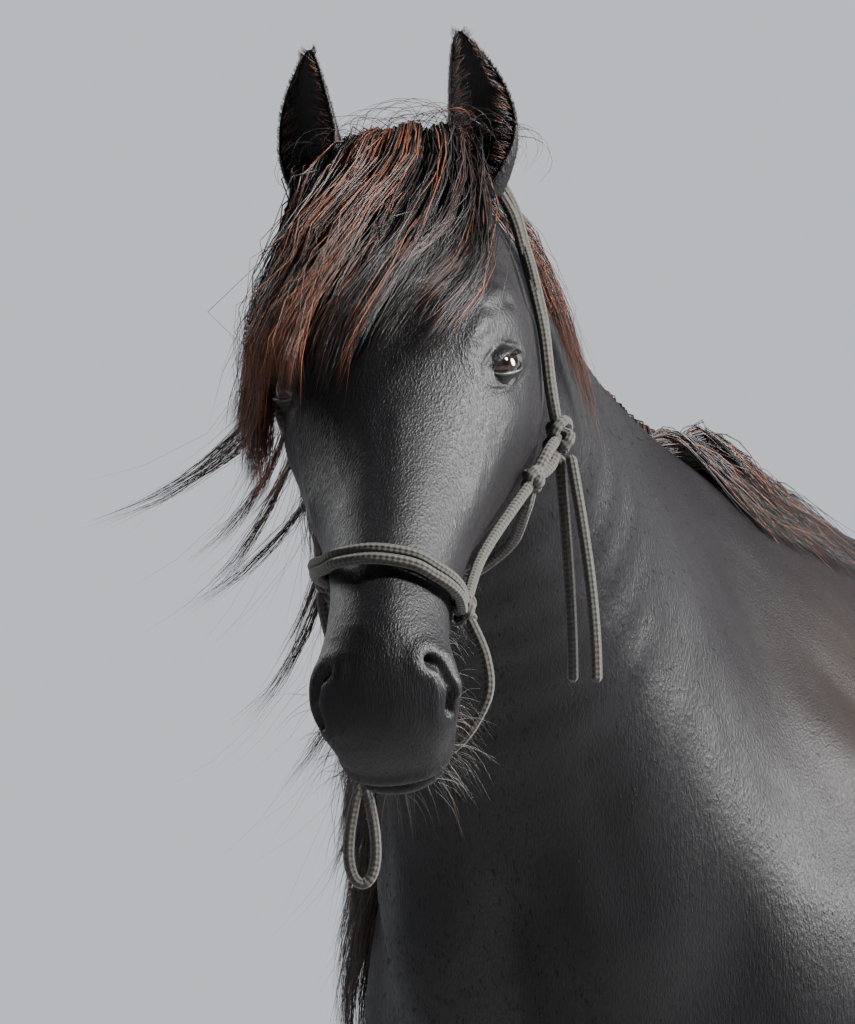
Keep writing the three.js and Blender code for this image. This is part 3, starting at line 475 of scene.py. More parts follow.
@dataclass
class Leg:
    """One leg as sections from the body down to the coronet."""

    limb: Limb
    lowest: float = 60.0
    fore: tuple = (
        (168, -190, 1060, 66, 100),
        (166, -172, 970, 70, 112),
        (162, -160, 885, 66, 97),
        (156, -155, 805, 58, 81),
        (150, -154, 715, 49, 65),
        (146, -156, 625, 42, 52),
        (144, -159, 550, 41, 47),
        (143, -161, 505, 47, 51),
        (142, -161, 465, 48, 52),
        (141, -158, 430, 43, 47),
        (140, -153, 392, 34, 42),
        (139, -151, 330, 30, 40),
        (138, -151, 280, 31, 42),
        (137, -150, 245, 38, 50),
        (136, -152, 218, 39, 50),
        (135, -165, 184, 35, 41),
        (134, -186, 145, 35, 38),
        (134, -206, 112, 43, 46),
        (134, -217, 90, 52, 56),
        (134, -222, 60, 52, 56),
    )
    hind: tuple = (
        (160, 960, 1150, 88, 158),
        (158, 968, 1070, 86, 156),
        (152, 985, 990, 77, 138),
        (147, 1018, 910, 67, 114),
        (143, 1062, 830, 57, 90),
        (141, 1106, 755, 47, 69),
        (139, 1146, 695, 43, 58),
        (138, 1170, 645, 46, 63),
        (137, 1178, 598, 47, 61),
        (137, 1176, 552, 43, 51),
        (136, 1173, 500, 35, 45),
        (135, 1169, 420, 31, 42),
        (134, 1165, 345, 31, 42),
        (133, 1161, 285, 33, 44),
        (133, 1158, 250, 39, 51),
        (132, 1152, 220, 39, 50),
        (132, 1134, 180, 35, 41),
        (131, 1112, 140, 35, 38),
        (131, 1094, 110, 43, 46),
        (131, 1084, 90, 51, 55),
        (131, 1080, 60, 51, 55),
    )

    def __post_init__(self) -> None:
        """Reads the stations."""
        self.side, hind, self.ahead = self.limb.value
        self.rows = self.hind if hind else self.fore
        self.stations = Track(list(self.rows))
        self.name = self.limb.name.lower()

    def stance(self, p: Array) -> Array:
        """Moves points where the lean of the leg takes them.

        Args:
            p: points of the straight leg.

        Returns:
            The moved points.
        """
        high = self.rows[0][2]
        q = p.copy()
        q[:, 1] -= self.ahead * np.clip((high - p[:, 2]) / (high - self.lowest), 0, 1)
        return q

    def row_at(self, z: Array) -> Array:
        """Returns the row of the table at heights."""
        table = np.array(self.rows, float)
        return np.stack([np.interp(-z, -table[:, 2], table[:, k]) for k in range(5)], 1)

    def point(self, t: Array, round_: Array, height: Array | float = 0) -> Array:
        """Returns points over the leg.

        Args:
            t: share of the way down.
            round_: share round the section, from the front.
            height: height over the surface.

        Returns:
            One point for each share.
        """
        t, round_ = np.broadcast_arrays(np.asarray(t, float), np.asarray(round_, float))
        shape = t.shape
        t, angle = t.ravel(), round_.ravel() * 2 * np.pi
        rise = np.broadcast_to(height, shape).ravel()
        row = self.stations.at(t)
        step = 0.4 / (len(self.rows) - 1)
        along = (self.stations.at(t + step) - self.stations.at(t - step))[:, 1:3]
        along = along / np.linalg.norm(along, axis=1, keepdims=True)
        p = np.stack([row[:, 0] * self.side, row[:, 1], row[:, 2]], 1)
        deep = np.cos(angle) * (row[:, 4] + rise)
        p[:, 1] += along[:, 1] * deep
        p[:, 2] -= along[:, 0] * deep
        p[:, 0] += np.sin(angle) * (row[:, 3] + rise) * self.side
        return self.stance(p).reshape(*shape, 3)


@dataclass
class Body:
    """All forms of the horse, and its place in the shared frame."""

    trunk: Trunk = field(default_factory=Trunk)
    eye_centre: tuple = (81, 211, -50)

    def __post_init__(self) -> None:
        """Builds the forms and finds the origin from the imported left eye."""
        self.head = Head(self.trunk)
        self.legs = [Leg(limb) for limb in Limb]
        low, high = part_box("eye_left")
        centre = np.array((Vector(low) + Vector(high)) / 2) / MM
        self.shift = centre - self.head.place(np.array([self.eye_centre], float))[0]

    def metres(self, p: Array) -> Array:
        """Returns points of the forms in metres in the shared frame."""
        return (p + self.shift) * MM

    def forms(self, p: Array) -> Array:
        """Returns points of the shared frame in the forms' millimetres."""
        return p / MM - self.shift


class Shade:
    """A socket of a node tree with the arithmetic that materials use."""

    def __init__(self, tree: bpy.types.NodeTree, socket: Socket) -> None:
        """Wraps a socket of a tree."""
        self.tree = tree
        self.socket = socket

    def _math(self, operation: str, first: object, second: object) -> "Shade":
        """Returns the result of a Math node on two values."""
        node = add_node(self.tree, "ShaderNodeMath", {"operation": operation}, {0: first, 1: second})
        return Shade(self.tree, node.outputs[0])

    def __add__(self, other: object) -> "Shade":
        """Returns the sum."""
        return self._math("ADD", self, other)

    __radd__ = __add__

    def __mul__(self, other: object) -> "Shade":
        """Returns the product."""
        return self._math("MULTIPLY", self, other)

    __rmul__ = __mul__

    def __sub__(self, other: object) -> "Shade":
        """Returns the difference."""
        return self._math("SUBTRACT", self, other)

    def __rsub__(self, other: object) -> "Shade":
        """Returns the difference, from the other value."""
        return self._math("SUBTRACT", other, self)

    def sine(self) -> "Shade":
        """Returns the sine."""
        return self._math("SINE", self, 0)

    def smooth(self, low: float, high: float) -> "Shade":
        """Returns a smooth step from low to high."""
        values = {"Value": self, "From Min": low, "From Max": high}
        node = add_node(self.tree, "ShaderNodeMapRange", {"interpolation_type": "SMOOTHSTEP"}, values)
        return Shade(self.tree, node.outputs["Result"])


def add_node(tree: bpy.types.NodeTree, kind: str, settings: dict, values: dict) -> bpy.types.Node:
    """Adds a node.

    Args:
        tree: the tree that gets it.
        kind: the node's type.
        settings: the node's own properties, set first.
        values: values or links of its inputs, by name or number.

    Returns:
        The node.
    """
    node = tree.nodes.new(kind)
    for name, value in settings.items():
        setattr(node, name, value)
    for key, value in values.items():
        socket = node.inputs[key]
        if isinstance(value, Shade):
            tree.links.new(value.socket, socket)
        elif isinstance(value, Socket):
            tree.links.new(value, socket)
        else:
            socket.default_value = value
    return node


class Paint:
    """A material under construction."""

    def __init__(self, name: str) -> None:
        """Starts an empty material with an output."""
        self.material = bpy.data.materials.new(name)
        self.material.use_nodes = True
        self.tree = self.material.node_tree
        self.tree.nodes.clear()
        self.out = add_node(self.tree, "ShaderNodeOutputMaterial", {}, {})

    def node(self, kind: str, settings: dict, values: dict) -> bpy.types.Node:
        """Adds a node to this material."""
        return add_node(self.tree, kind, settings, values)

    def place(self, scale: tuple) -> Socket:
        """Returns Object coordinates, stretched."""
        source = self.node("ShaderNodeTexCoord", {}, {})
        mapped = self.node("ShaderNodeMapping", {}, {"Vector": source.outputs["Object"], "Scale": scale})
        return mapped.outputs["Vector"]

    def noise(self, scale: float, detail: float, stretch: tuple = (1, 1, 1)) -> Shade:
        """Returns a noise from 0 to 1 over Object coordinates."""
        values = {"Vector": self.place(stretch), "Scale": scale, "Detail": detail}
        values["Roughness"] = NOISE_ROUGHNESS
        return Shade(self.tree, self.node("ShaderNodeTexNoise", {}, values).outputs[0])

    def attribute(self, name: str, kind: str) -> Socket:
        """Returns an attribute of the mesh, as Color or as Fac."""
        return self.node("ShaderNodeAttribute", {"attribute_name": name}, {}).outputs[kind]

    def blend(self, share: object, first: object, second: object) -> Socket:
        """Returns the mix of two colours."""
        node = self.node("ShaderNodeMix", {"data_type": "RGBA"}, {0: share, 6: first, 7: second})
        return node.outputs[2]

    def bump(self, height: Shade, distance: float, strength: float) -> Socket:
        """Returns a normal raised by a height."""
        values = {"Height": height, "Distance": distance, "Strength": strength}
        return self.node("ShaderNodeBump", {}, values).outputs["Normal"]

    def finish(self, **values: object) -> Material:
        """Ends the material in a Principled shader.

        Args:
            values: the shader's inputs, with _ for a space.

        Returns:
            The material.
        """
        named = {key.replace("_", " "): value for key, value in values.items()}
        shader = self.node("ShaderNodeBsdfPrincipled", {}, named)
        self.tree.links.new(shader.outputs[0], self.out.inputs["Surface"])
        return self.material


@dataclass(frozen=True)
class CoatFinish:
    """Short glossy black hair, greyer where it is worn and browner over the shoulder, partly sun-browned hair
    and partly a painted sheen.
    """

    black: tuple = (0.0032, 0.0028, 0.0033, 1)
    grey: tuple = (0.0100, 0.0086, 0.0092, 1)
    # brown over the shoulder: sun-browned hair and a painted sheen
    brown: tuple = (0.036, 0.022, 0.013, 1)

    def material(self) -> Material:
        """Mixes the coat.

        Returns:
            Its material.
        """
        paint = Paint("coat")
        broad = paint.noise(3.2, 2)
        strands = paint.noise(700, 2, (1.0, 0.6, 0.2))
        fine = paint.noise(760, 2, (1.0, 0.8, 0.6))
        base = paint.blend(broad.smooth(0.42, 0.7) * 0.4 + strands * 0.34, self.black, self.grey)
        # brown patch over the shoulder: partly sun-browned hair, partly a painted sheen
        shoulder = Shade(paint.tree, paint.attribute("sunburn_and_sheen", "Fac"))
        color = paint.blend(shoulder * (0.35 + 0.5 * strands), base, self.brown)
        ripple = paint.noise(30, 0.5, (1.0, 1.0, 0.55))
        wave = paint.noise(11, 0.5, (1.0, 1.0, 0.45))
        height = strands * 0.11 + fine * 0.03 + ripple * 0.14 + wave * 0.9
        return paint.finish(
            Base_Color=color,
            Roughness=0.50 - 0.16 * strands.smooth(0.3, 0.75) + 0.08 * broad,
            Normal=paint.bump(height, 0.011, 0.75),
            Sheen_Weight=0.015,
            Sheen_Roughness=0.4,
            Sheen_Tint=(0.9, 0.82, 0.8, 1),
            Specular_IOR_Level=0.19,
        )


@dataclass(frozen=True)
class HairFinish:
    """Long hair: its colour comes from each strand, lighter and redder at the tip."""

    rough: float = 0.42

    def material(self, name: str) -> Material:
        """Mixes the hair's finish.

        Args:
            name: the material's name.

        Returns:
            The material.
        """
        paint = Paint(name)
        return paint.finish(
            Base_Color=paint.attribute("strand", "Color"),
            Roughness=self.rough,
            Specular_IOR_Level=0.42,
            Sheen_Weight=0.04,
            Sheen_Roughness=0.4,
        )


@dataclass(frozen=True)
class RopeFinish:
    """Braided grey-olive rope with patchy dirt, its grooves painted darker as painted shade."""

    light: tuple = (0.044, 0.038, 0.027, 1)
    dark: tuple = (0.014, 0.012, 0.009, 1)
    turns: float = 4.0
    pitch: float = 0.009

    def material(self) -> Material:
        """Mixes the rope's finish over a map of metres along it and turns round it.

        Returns:
            The material.
        """
        paint = Paint("rope")
        source = paint.node("ShaderNodeUVMap", {"uv_map": "RopeMap"}, {})
        parts = paint.node("ShaderNodeSeparateXYZ", {}, {0: source.outputs[0]})
        along = Shade(paint.tree, parts.outputs[0]) * (2 * math.pi / self.pitch)
        around = Shade(paint.tree, parts.outputs[1]) * (2 * math.pi * self.turns)
        weave = (along + around).sine() * (along - around).sine()
        dirt = paint.noise(60, 3)
        fuzz = paint.noise(1500, 2)
        # darker in the grooves of the braid: painted shade; the dirt noise gives patchy dirt
        share = (weave * 0.35 + 0.5) * (0.55 + 0.6 * dirt)
        return paint.finish(
            Base_Color=paint.blend(share, self.dark, self.light),
            Roughness=0.88,
            Normal=paint.bump(weave * 0.6 + fuzz * 0.4, 0.0012, 0.9),
            Sheen_Weight=0.08,
            Sheen_Roughness=0.6,
        )


@dataclass(frozen=True)
class HoofFinish:
    """Dark horn with growth rings and fine vertical fibres."""

    dark: tuple = (0.020, 0.017, 0.015, 1)
    pale: tuple = (0.095, 0.078, 0.060, 1)

    def material(self) -> Material:
        """Mixes the horn.

        Returns:
            Its material.
        """
        paint = Paint("hoof")
        rings = paint.noise(26, 2, (0.25, 0.25, 4.0))
        fibres = paint.noise(170, 3, (1.0, 1.0, 0.06))
        color = paint.blend(rings.smooth(0.35, 0.75) * 0.6 + fibres * 0.3, self.dark, self.pale)
        return paint.finish(
            Base_Color=color,
            Roughness=0.42 + 0.25 * fibres,
            Normal=paint.bump(rings * 0.8 + fibres * 0.3, 0.003, 0.8),
        )


@dataclass(frozen=True)
class EyeFinish:
    """A wet, almost black eye with a dark brown iris."""

    black: tuple = (0.004, 0.0025, 0.002, 1)
    brown: tuple = (0.020, 0.010, 0.006, 1)

    def material(self) -> Material:
        """Mixes the wet eye.

        Returns:
            Its material.
        """
        paint = Paint("eye")
        streaks = paint.noise(240, 3)
        color = paint.blend(streaks.smooth(0.35, 0.7), self.black, self.brown)
        return paint.finish(Base_Color=color, Roughness=0.04, Coat_Weight=1.0, Coat_Roughness=0.02, IOR=1.4)


@dataclass(frozen=True)
class LidFinish:
    """Bare, dark and slightly moist skin of the lids' rims."""

    dark: tuple = (0.006, 0.005, 0.005, 1)
    pale: tuple = (0.030, 0.026, 0.027, 1)

    def material(self) -> Material:
        """Mixes the skin of the rims.

        Returns:
            Its material.
        """
        paint = Paint("lid_rim")
        grain = paint.noise(700, 3)
        return paint.finish(
            Base_Color=paint.blend(grain, self.dark, self.pale),
            Roughness=0.3 + 0.1 * grain,
            Normal=paint.bump(grain, 0.0006, 0.6),
        )


def new_piece(name: str, mesh: Mesh, material: Material, nodes: tuple = ()) -> bpy.types.Object:
    """Makes a piece that rides on the horse.

    Args:
        name: the piece's name.
        mesh: its mesh, in metres, in the shared frame.
        material: its finish.
        nodes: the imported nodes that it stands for.

    Returns:
        The piece.
    """
    piece = bpy.data.objects.new(name, mesh)
    bpy.context.scene.collection.objects.link(piece)
    mesh.materials.clear()
    mesh.materials.append(material)
    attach(piece, "root")
    if nodes:
        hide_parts(*nodes)
    log.info("%s: %d faces", name, len(mesh.polygons))
    return piece


def add_loft(bm: BMesh, rows: Array) -> None:
    """Adds a closed tube through rings of points to a bmesh, its ends closed.

    Args:
        bm: the mesh that gets it.
        rows: rings by points by 3; the last point of a ring is its first again.
    """
    count, around = rows.shape[:2]
    grid = bmesh.ops.create_grid(bm, x_segments=around - 1, y_segments=count - 1)["verts"]
    for vert, place in zip(grid, rows.reshape(-1, 3)):
        vert.co = place
    merged = bmesh.ops.find_doubles(bm, verts=grid, dist=1e-7)["targetmap"]
    bmesh.ops.weld_verts(bm, targetmap=merged)
    alive = {v for v in grid if v.is_valid}
    rims = [e for v in alive for e in v.link_edges if e.is_boundary]
    bmesh.ops.holes_fill(bm, edges=list(set(rims)), sides=0)


def relax(bm: BMesh, verts: object, rounds: int, factor: float = 0.5) -> None:
    """Evens out some vertices of a bmesh in a number of rounds."""
    axes = {"use_axis_x": True, "use_axis_y": True, "use_axis_z": True}
    for _ in range(rounds):
        bmesh.ops.smooth_vert(bm, verts=verts, factor=factor, **axes)


def mesh_of(bm: BMesh, name: str) -> Mesh:
    """Ends a bmesh in a smooth mesh with its faces out.

    Args:
        bm: the bmesh, freed here.
        name: the mesh's name.

    Returns:
        The mesh.
    """
    bmesh.ops.recalc_face_normals(bm, faces=bm.faces)
    mesh = bpy.data.meshes.new(name)
    bm.to_mesh(mesh)
    bm.free()
    mesh.shade_smooth()
    return mesh


def in_head(h: Array, start: float, end: float, deep: float) -> Array:
    """Tells which points lie in a box round the head.

    Args:
        h: points in the head's frame.
        start: where the box starts down the face.
        end: where it ends.
        deep: how far it reaches behind the face.

    Returns:
        True or False for each point.
    """
    across = (np.abs(h[:, 0]) < 150) & (h[:, 2] > -deep) & (h[:, 2] < 60)
    return (h[:, 1] > start) & (h[:, 1] < end) & across


def vertex_places(mesh: Mesh) -> Array:
    """Returns the places of a mesh's vertices."""
    flat = np.empty(len(mesh.vertices) * 3)
    mesh.vertices.foreach_get("co", flat)
    return flat.reshape(-1, 3)


def vertex_normals(mesh: Mesh) -> Array:
    """Returns the normals of a mesh's vertices."""
    flat = np.empty(len(mesh.vertices) * 3, np.float32)
    mesh.vertex_normals.foreach_get("vector", flat)
    return flat.reshape(-1, 3).astype(float)


@dataclass
class Skin:
    """One skin over torso, neck, head and legs."""

    body: Body
    depth: float = 2.5
    voxel: float = 11.0
    eye_long: float = 19.5
    eye_high: tuple = (9.5, 7.0)
    eye_radius: float = 22.0
    face_folds: tuple = (
        ((88, 150, -22), (70, 232, -4), 8, 3.2),
        ((96, 150, -34), (82, 180, -12), 6, -3.0),
        ((74, 236, -8), (92, 262, -40), 7, 2.4),
        ((80, 262, -44), (64, 420, -62), 5, 2.2),
        ((58, 300, -22), (50, 470, -30), 4, 1.8),
        ((70, 330, -96), (58, 500, -84), 5, 1.8),
        ((84, 226, -92), (62, 300, -112), 6, 2.4),
        ((30, 40, 10), (64, 110, 12), 12, 3.0),
        ((14, 300, 4), (16, 520, 0), 9, 2.4),
        ((0, 300, 6), (0, 480, 2), 8, -1.6),
        ((98, 120, -96), (96, 230, -150), 14, 3.0),
        ((34, 548, -110), (10, 588, -108), 6, 2.0),
    )
    body_folds: tuple = (
        ((150, -300, 1560), (246, -190, 1250), 34, 7),
        ((120, -240, 1590), (214, -100, 1330), 26, -5),
        ((120, -420, 1500), (168, -520, 1330), 26, 5),
        ((150, -400, 1380), (196, -380, 1160), 24, -5),
        ((96, -540, 1500), (120, -480, 1280), 22, -4),
        ((225, -300, 1260), (236, -300, 1080), 40, 9),
        ((70, -500, 1330), (60, -470, 1120), 22, -5),
        ((246, -60, 1300), (262, 120, 1010), 30, 6),
        ((240, 660, 1180), (236, 800, 1020), 30, -6),
        ((190, 1060, 1330), (176, 1090, 1010), 16, -5),
    )
    neck_crease: float = 7.0
    # centre and reach of the brown patch: sun-browned hair and a painted sheen
    sunburn_and_sheen_centre: tuple = (215, -20, 1450)
    sunburn_and_sheen_reach: tuple = (110, 190, 170)
    nostril: tuple = ((45, 549, -30), (54, 552, -36), (60, 564, -50), (56, 574, -64))
    mouth_heights: tuple = (-94.0, -121.0)

    def eye_centre(self, side: int) -> Array:
        """Returns the centre of an eye in the head's frame."""
        return np.array(self.body.eye_centre, float) * [side, 1, 1]

    def lid_line(self, turn: Array) -> tuple:
        """Returns the edge of the lids: along the eye and up, for each angle round it."""
        up = np.sin(turn)
        high = np.where(up > 0, *self.eye_high)
        return self.eye_long * np.cos(turn), high * up

    def eye_axes(self) -> Array:
        """Works out the left eye's axes in the head's frame.

        Returns:
            The directions out, along and up.
        """
        out = unit(np.array([0.9, 0.22, 0.4]))
        long = np.array([0, 0.8, 0.6])
        long = unit(long - out * (long @ out))
        up = np.cross(out, long)
        return np.array([out, long, up if up[2] > 0 else -up])

    def lofts(self) -> list:
        """Works out the rings of each form.

        Returns:
            Rings by points by 3 for each form, in metres.
        """
        body, d = self.body, -self.depth
        ring = np.linspace(0, 1, 97)
        small = np.linspace(0, 1, 49)
        rows = [body.trunk.point(np.linspace(0, 1, 170)[:, None], ring[None], d)]
        last = len(body.head.rows) - 1
        down = np.interp(np.linspace(0, last, 150), range(last + 1), [r[0] for r in body.head.rows])
        rows.append(body.head.point(down[:, None], ring[None], d))
        for leg in body.legs:
            rows.append(leg.point(np.linspace(0, 1, 110)[:, None], small[None], d))
        return [body.metres(r) for r in rows]

    def remeshed(self) -> Mesh:
        """Merges the forms into one even skin.

        Returns:
            The skin's mesh.
        """
        bm = bmesh.new()
        for rows in self.lofts():
            add_loft(bm, rows)
        rough = bpy.data.objects.new("rough", mesh_of(bm, "rough"))
        bpy.context.scene.collection.objects.link(rough)
        remesh = rough.modifiers.new("remesh", "REMESH")
        remesh.mode = "VOXEL"
        remesh.voxel_size = self.voxel * MM
        shown = rough.evaluated_get(bpy.context.evaluated_depsgraph_get())
        mesh = bpy.data.meshes.new_from_object(shown)
        bpy.data.objects.remove(rough)
        return mesh

    def build(self) -> Mesh:
        """Makes the skin with its sculpted details.

        Returns:
            The skin's mesh.
        """
        mesh = self.remeshed()
        bm = bmesh.new()
        bm.from_mesh(mesh)
        relax(bm, bm.verts, 4)
        self.soften(bm)
        for reach, rounds in ((1, 2), (2, 2), (3, 1)):
            self.refine(bm, reach, rounds)
        bm.to_mesh(mesh)
        bm.free()
        self.swell(mesh)
        self.sculpt(mesh)
        self.sunburn_and_sheen(mesh)
        mesh.shade_smooth()
        return mesh

    def swell(self, mesh: Mesh) -> None:
        """Raises muscles, veins and folds of the face, the neck and the body.

        Args:
            mesh: the skin's mesh.
        """
        places, normal = vertex_places(mesh), vertex_normals(mesh)
        p = self.body.forms(places)
        h = self.body.head.inverse(p)
        on_face = ease((h[:, 1] - 10) / 60) * (h[:, 2] > -240) * (np.abs(h[:, 0]) < 150)
        rise = lift_of(p, self.body_folds) * (1 - on_face) + lift_of(h, self.face_folds) * on_face
        along = 0.55 * (p[:, 2] - 1500) - 0.75 * p[:, 1]
        throat = ease((p[:, 2] - 1330) / 90) * ease((1760 - p[:, 2]) / 120) * (1 - on_face)
        crease = np.sin(along / self.neck_crease + 2.2 * np.sin(p[:, 2] / 61))
        rise += crease * throat * (p[:, 1] < -480)
        moved = places + normal * (rise * (p[:, 2] > 700) * MM)[:, None]
        mesh.vertices.foreach_set("co", moved.ravel())
        mesh.update()

    def sunburn_and_sheen(self, mesh: Mesh) -> None:
        """Marks the brown patch over shoulder and back: partly sun-browned hair, partly a painted sheen.

        Args:
            mesh: the skin's mesh.
        """
        p = self.body.forms(vertex_places(mesh))
        far = (folded(p) - self.sunburn_and_sheen_centre) / self.sunburn_and_sheen_reach
        share = np.exp(-(far**2).sum(1))
        layer = mesh.attributes.new("sunburn_and_sheen", "FLOAT", "POINT")
        layer.data.foreach_set("value", share.astype(np.float32))

    def head_places(self, bm: BMesh) -> Array:
        """Returns the places of a bmesh's vertices in the head's frame."""
        places = np.array([v.co[:] for v in bm.verts])
        return self.body.head.inverse(self.body.forms(places))

    def soften(self, bm: BMesh) -> None:
        """Blends the joins of the neck with the head and of the legs with the body.

        Args:
            bm: the skin.
        """
        bm.verts.ensure_lookup_table()
        p = self.body.forms(np.array([v.co[:] for v in bm.verts]))
        h = self.body.head.inverse(p)
        throat = (h[:, 1] < 120) & (h[:, 1] > -140) & (h[:, 2] < 0)
        leg_top = (np.abs(p[:, 0]) > 40) & (p[:, 2] > 800) & (p[:, 2] < 1080) & (p[:, 1] > -330)
        chosen = [v for v, near in zip(bm.verts, throat | leg_top) if near]
        relax(bm, chosen, 40)

    def refine(self, bm: BMesh, reach: int, rounds: int) -> None:
        """Divides the faces of the head, more finely at the muzzle and the eyes.

        Args:
            bm: the skin.
            reach: 1 for the whole head, 2 for muzzle and eyes, 3 for nostrils and lids.
            rounds: smoothing rounds after the cut.
        """
        h = self.head_places(bm)
        inside = in_head(h, 20, 620, 300)
        eye = np.linalg.norm(folded(h) - self.eye_centre(1), axis=1)
        if reach > 1:
            inside &= (h[:, 1] > 505) | (eye < 48)
        if reach > 2:
            inside &= (self.nostril_distance(h) < 24) | (eye < 36)
        edges = [e for e in bm.edges if inside[e.verts[0].index] and inside[e.verts[1].index]]
        bmesh.ops.subdivide_edges(bm, edges=edges, cuts=1, use_grid_fill=True)
        bm.verts.index_update()
        near = in_head(self.head_places(bm), 20, math.inf, 300)
        relax(bm, [v for v, keep in zip(bm.verts, near) if keep], rounds, 0.4)

    def nostril_distance(self, h: Array) -> Array:
        """Returns the distance of points of the head's frame from the line of the nearer nostril."""
        q, line = folded(h), np.array(self.nostril, float)
        return np.min([segment_distance(q, a, b) for a, b in zip(line[:-1], line[1:])], axis=0)

    def sculpt(self, mesh: Mesh) -> None:
        """Moves the vertices of the head into sockets, lids, nostrils and lips.

        Args:
            mesh: the skin's mesh.
        """
        places = vertex_places(mesh)
        head = self.body.head
        h = head.inverse(self.body.forms(places))
        turn = head.axes
        normal = vertex_normals(mesh) @ turn.T
        near = in_head(h, 100, 640, 230)
        q, n = h[near], normal[near]
        q = self.lip_line(q, n)
        q = self.open_nostrils(q, n)
        for side in Side:
            q = self.set_lids(q, side.value)
        h[near] = q
        moved = self.body.metres(h @ turn + head.start)
        places[near] = moved[near]
        mesh.vertices.foreach_set("co", places.ravel())
        mesh.update()

    def lip_line(self, q: Array, n: Array) -> Array:
        """Cuts the line of the mouth and rounds the lips.

        Args:
            q: points in the head's frame.
            n: their normals.

        Returns:
            The moved points.
        """
        front = ease((q[:, 1] - 512) / 22)
        off = q[:, 2] - mix(*self.mouth_heights, ease((q[:, 1] - 535) / 53))
        groove = -8.0 * np.exp(-((off / 2.8) ** 2))
        lips = 3.2 * np.exp(-(((off - 8) / 6) ** 2)) + 2.6 * np.exp(-(((off + 8) / 6) ** 2))
        return q + n * ((groove + lips) * front * (n[:, 1] > -0.5))[:, None]

    def open_nostrils(self, q: Array, n: Array) -> Array:
        """Sinks the nostrils and raises their rims.

        Args:
            q: points in the head's frame.
            n: their normals.

        Returns:
            The moved points.
        """
        far = self.nostril_distance(q)
        deep = -20 * ease((8.6 - far) / 8.6)
        rim = 2.0 * np.exp(-(((far - 14.0) / 8.0) ** 2))
        inward = np.stack([-np.sign(q[:, 0]), np.full(len(q), -0.5), np.full(len(q), -0.1)], 1)
        return q + n * rim[:, None] - unit(inward) * deep[:, None]

    def set_lids(self, q: Array, side: int) -> Array:
        """Lays the skin round one eye as lids with an almond opening.

        Args:
            q: points in the head's frame.
            side: 1 for the left side, -1 for the right one.

        Returns:
            The moved points.
        """
        out, long, up = self.eye_axes() * np.array([side, 1, 1])
        d = q - self.eye_centre(side)
        u, v, w = d @ long, d @ up, d @ out
        high = np.where(v > 0, *self.eye_high)
        r = np.sqrt((u / self.eye_long) ** 2 + (v / high) ** 2)
        flat = np.sqrt(np.maximum(1.0, self.eye_radius**2 - np.minimum(u**2 + v**2, 380)))
        lid = flat + 3.0 - 1.0 * ease((r - 1.25) / 0.5)
        hidden = flat - 6
        share = ease((2.7 - r) / 1.6)
        wanted = np.where(r < 1, mix(hidden, lid, ease((r - 0.86) / 0.14)), mix(w, lid, share))
        upper, lower = ease(v / 4), ease(-v / 4)
        fold = -1.1 * np.exp(-(((r - 1.7) / 0.2) ** 2)) * upper
        fold = fold - 0.9 * np.exp(-(((r - 2.1) / 0.2) ** 2)) * lower
        fold = fold - 0.7 * np.exp(-(((r - 2.7) / 0.2) ** 2)) * lower
        use = (w > -8) & (np.linalg.norm(d, axis=1) < 70)
        return q + np.outer(np.where(use, wanted - w + fold, 0), out)


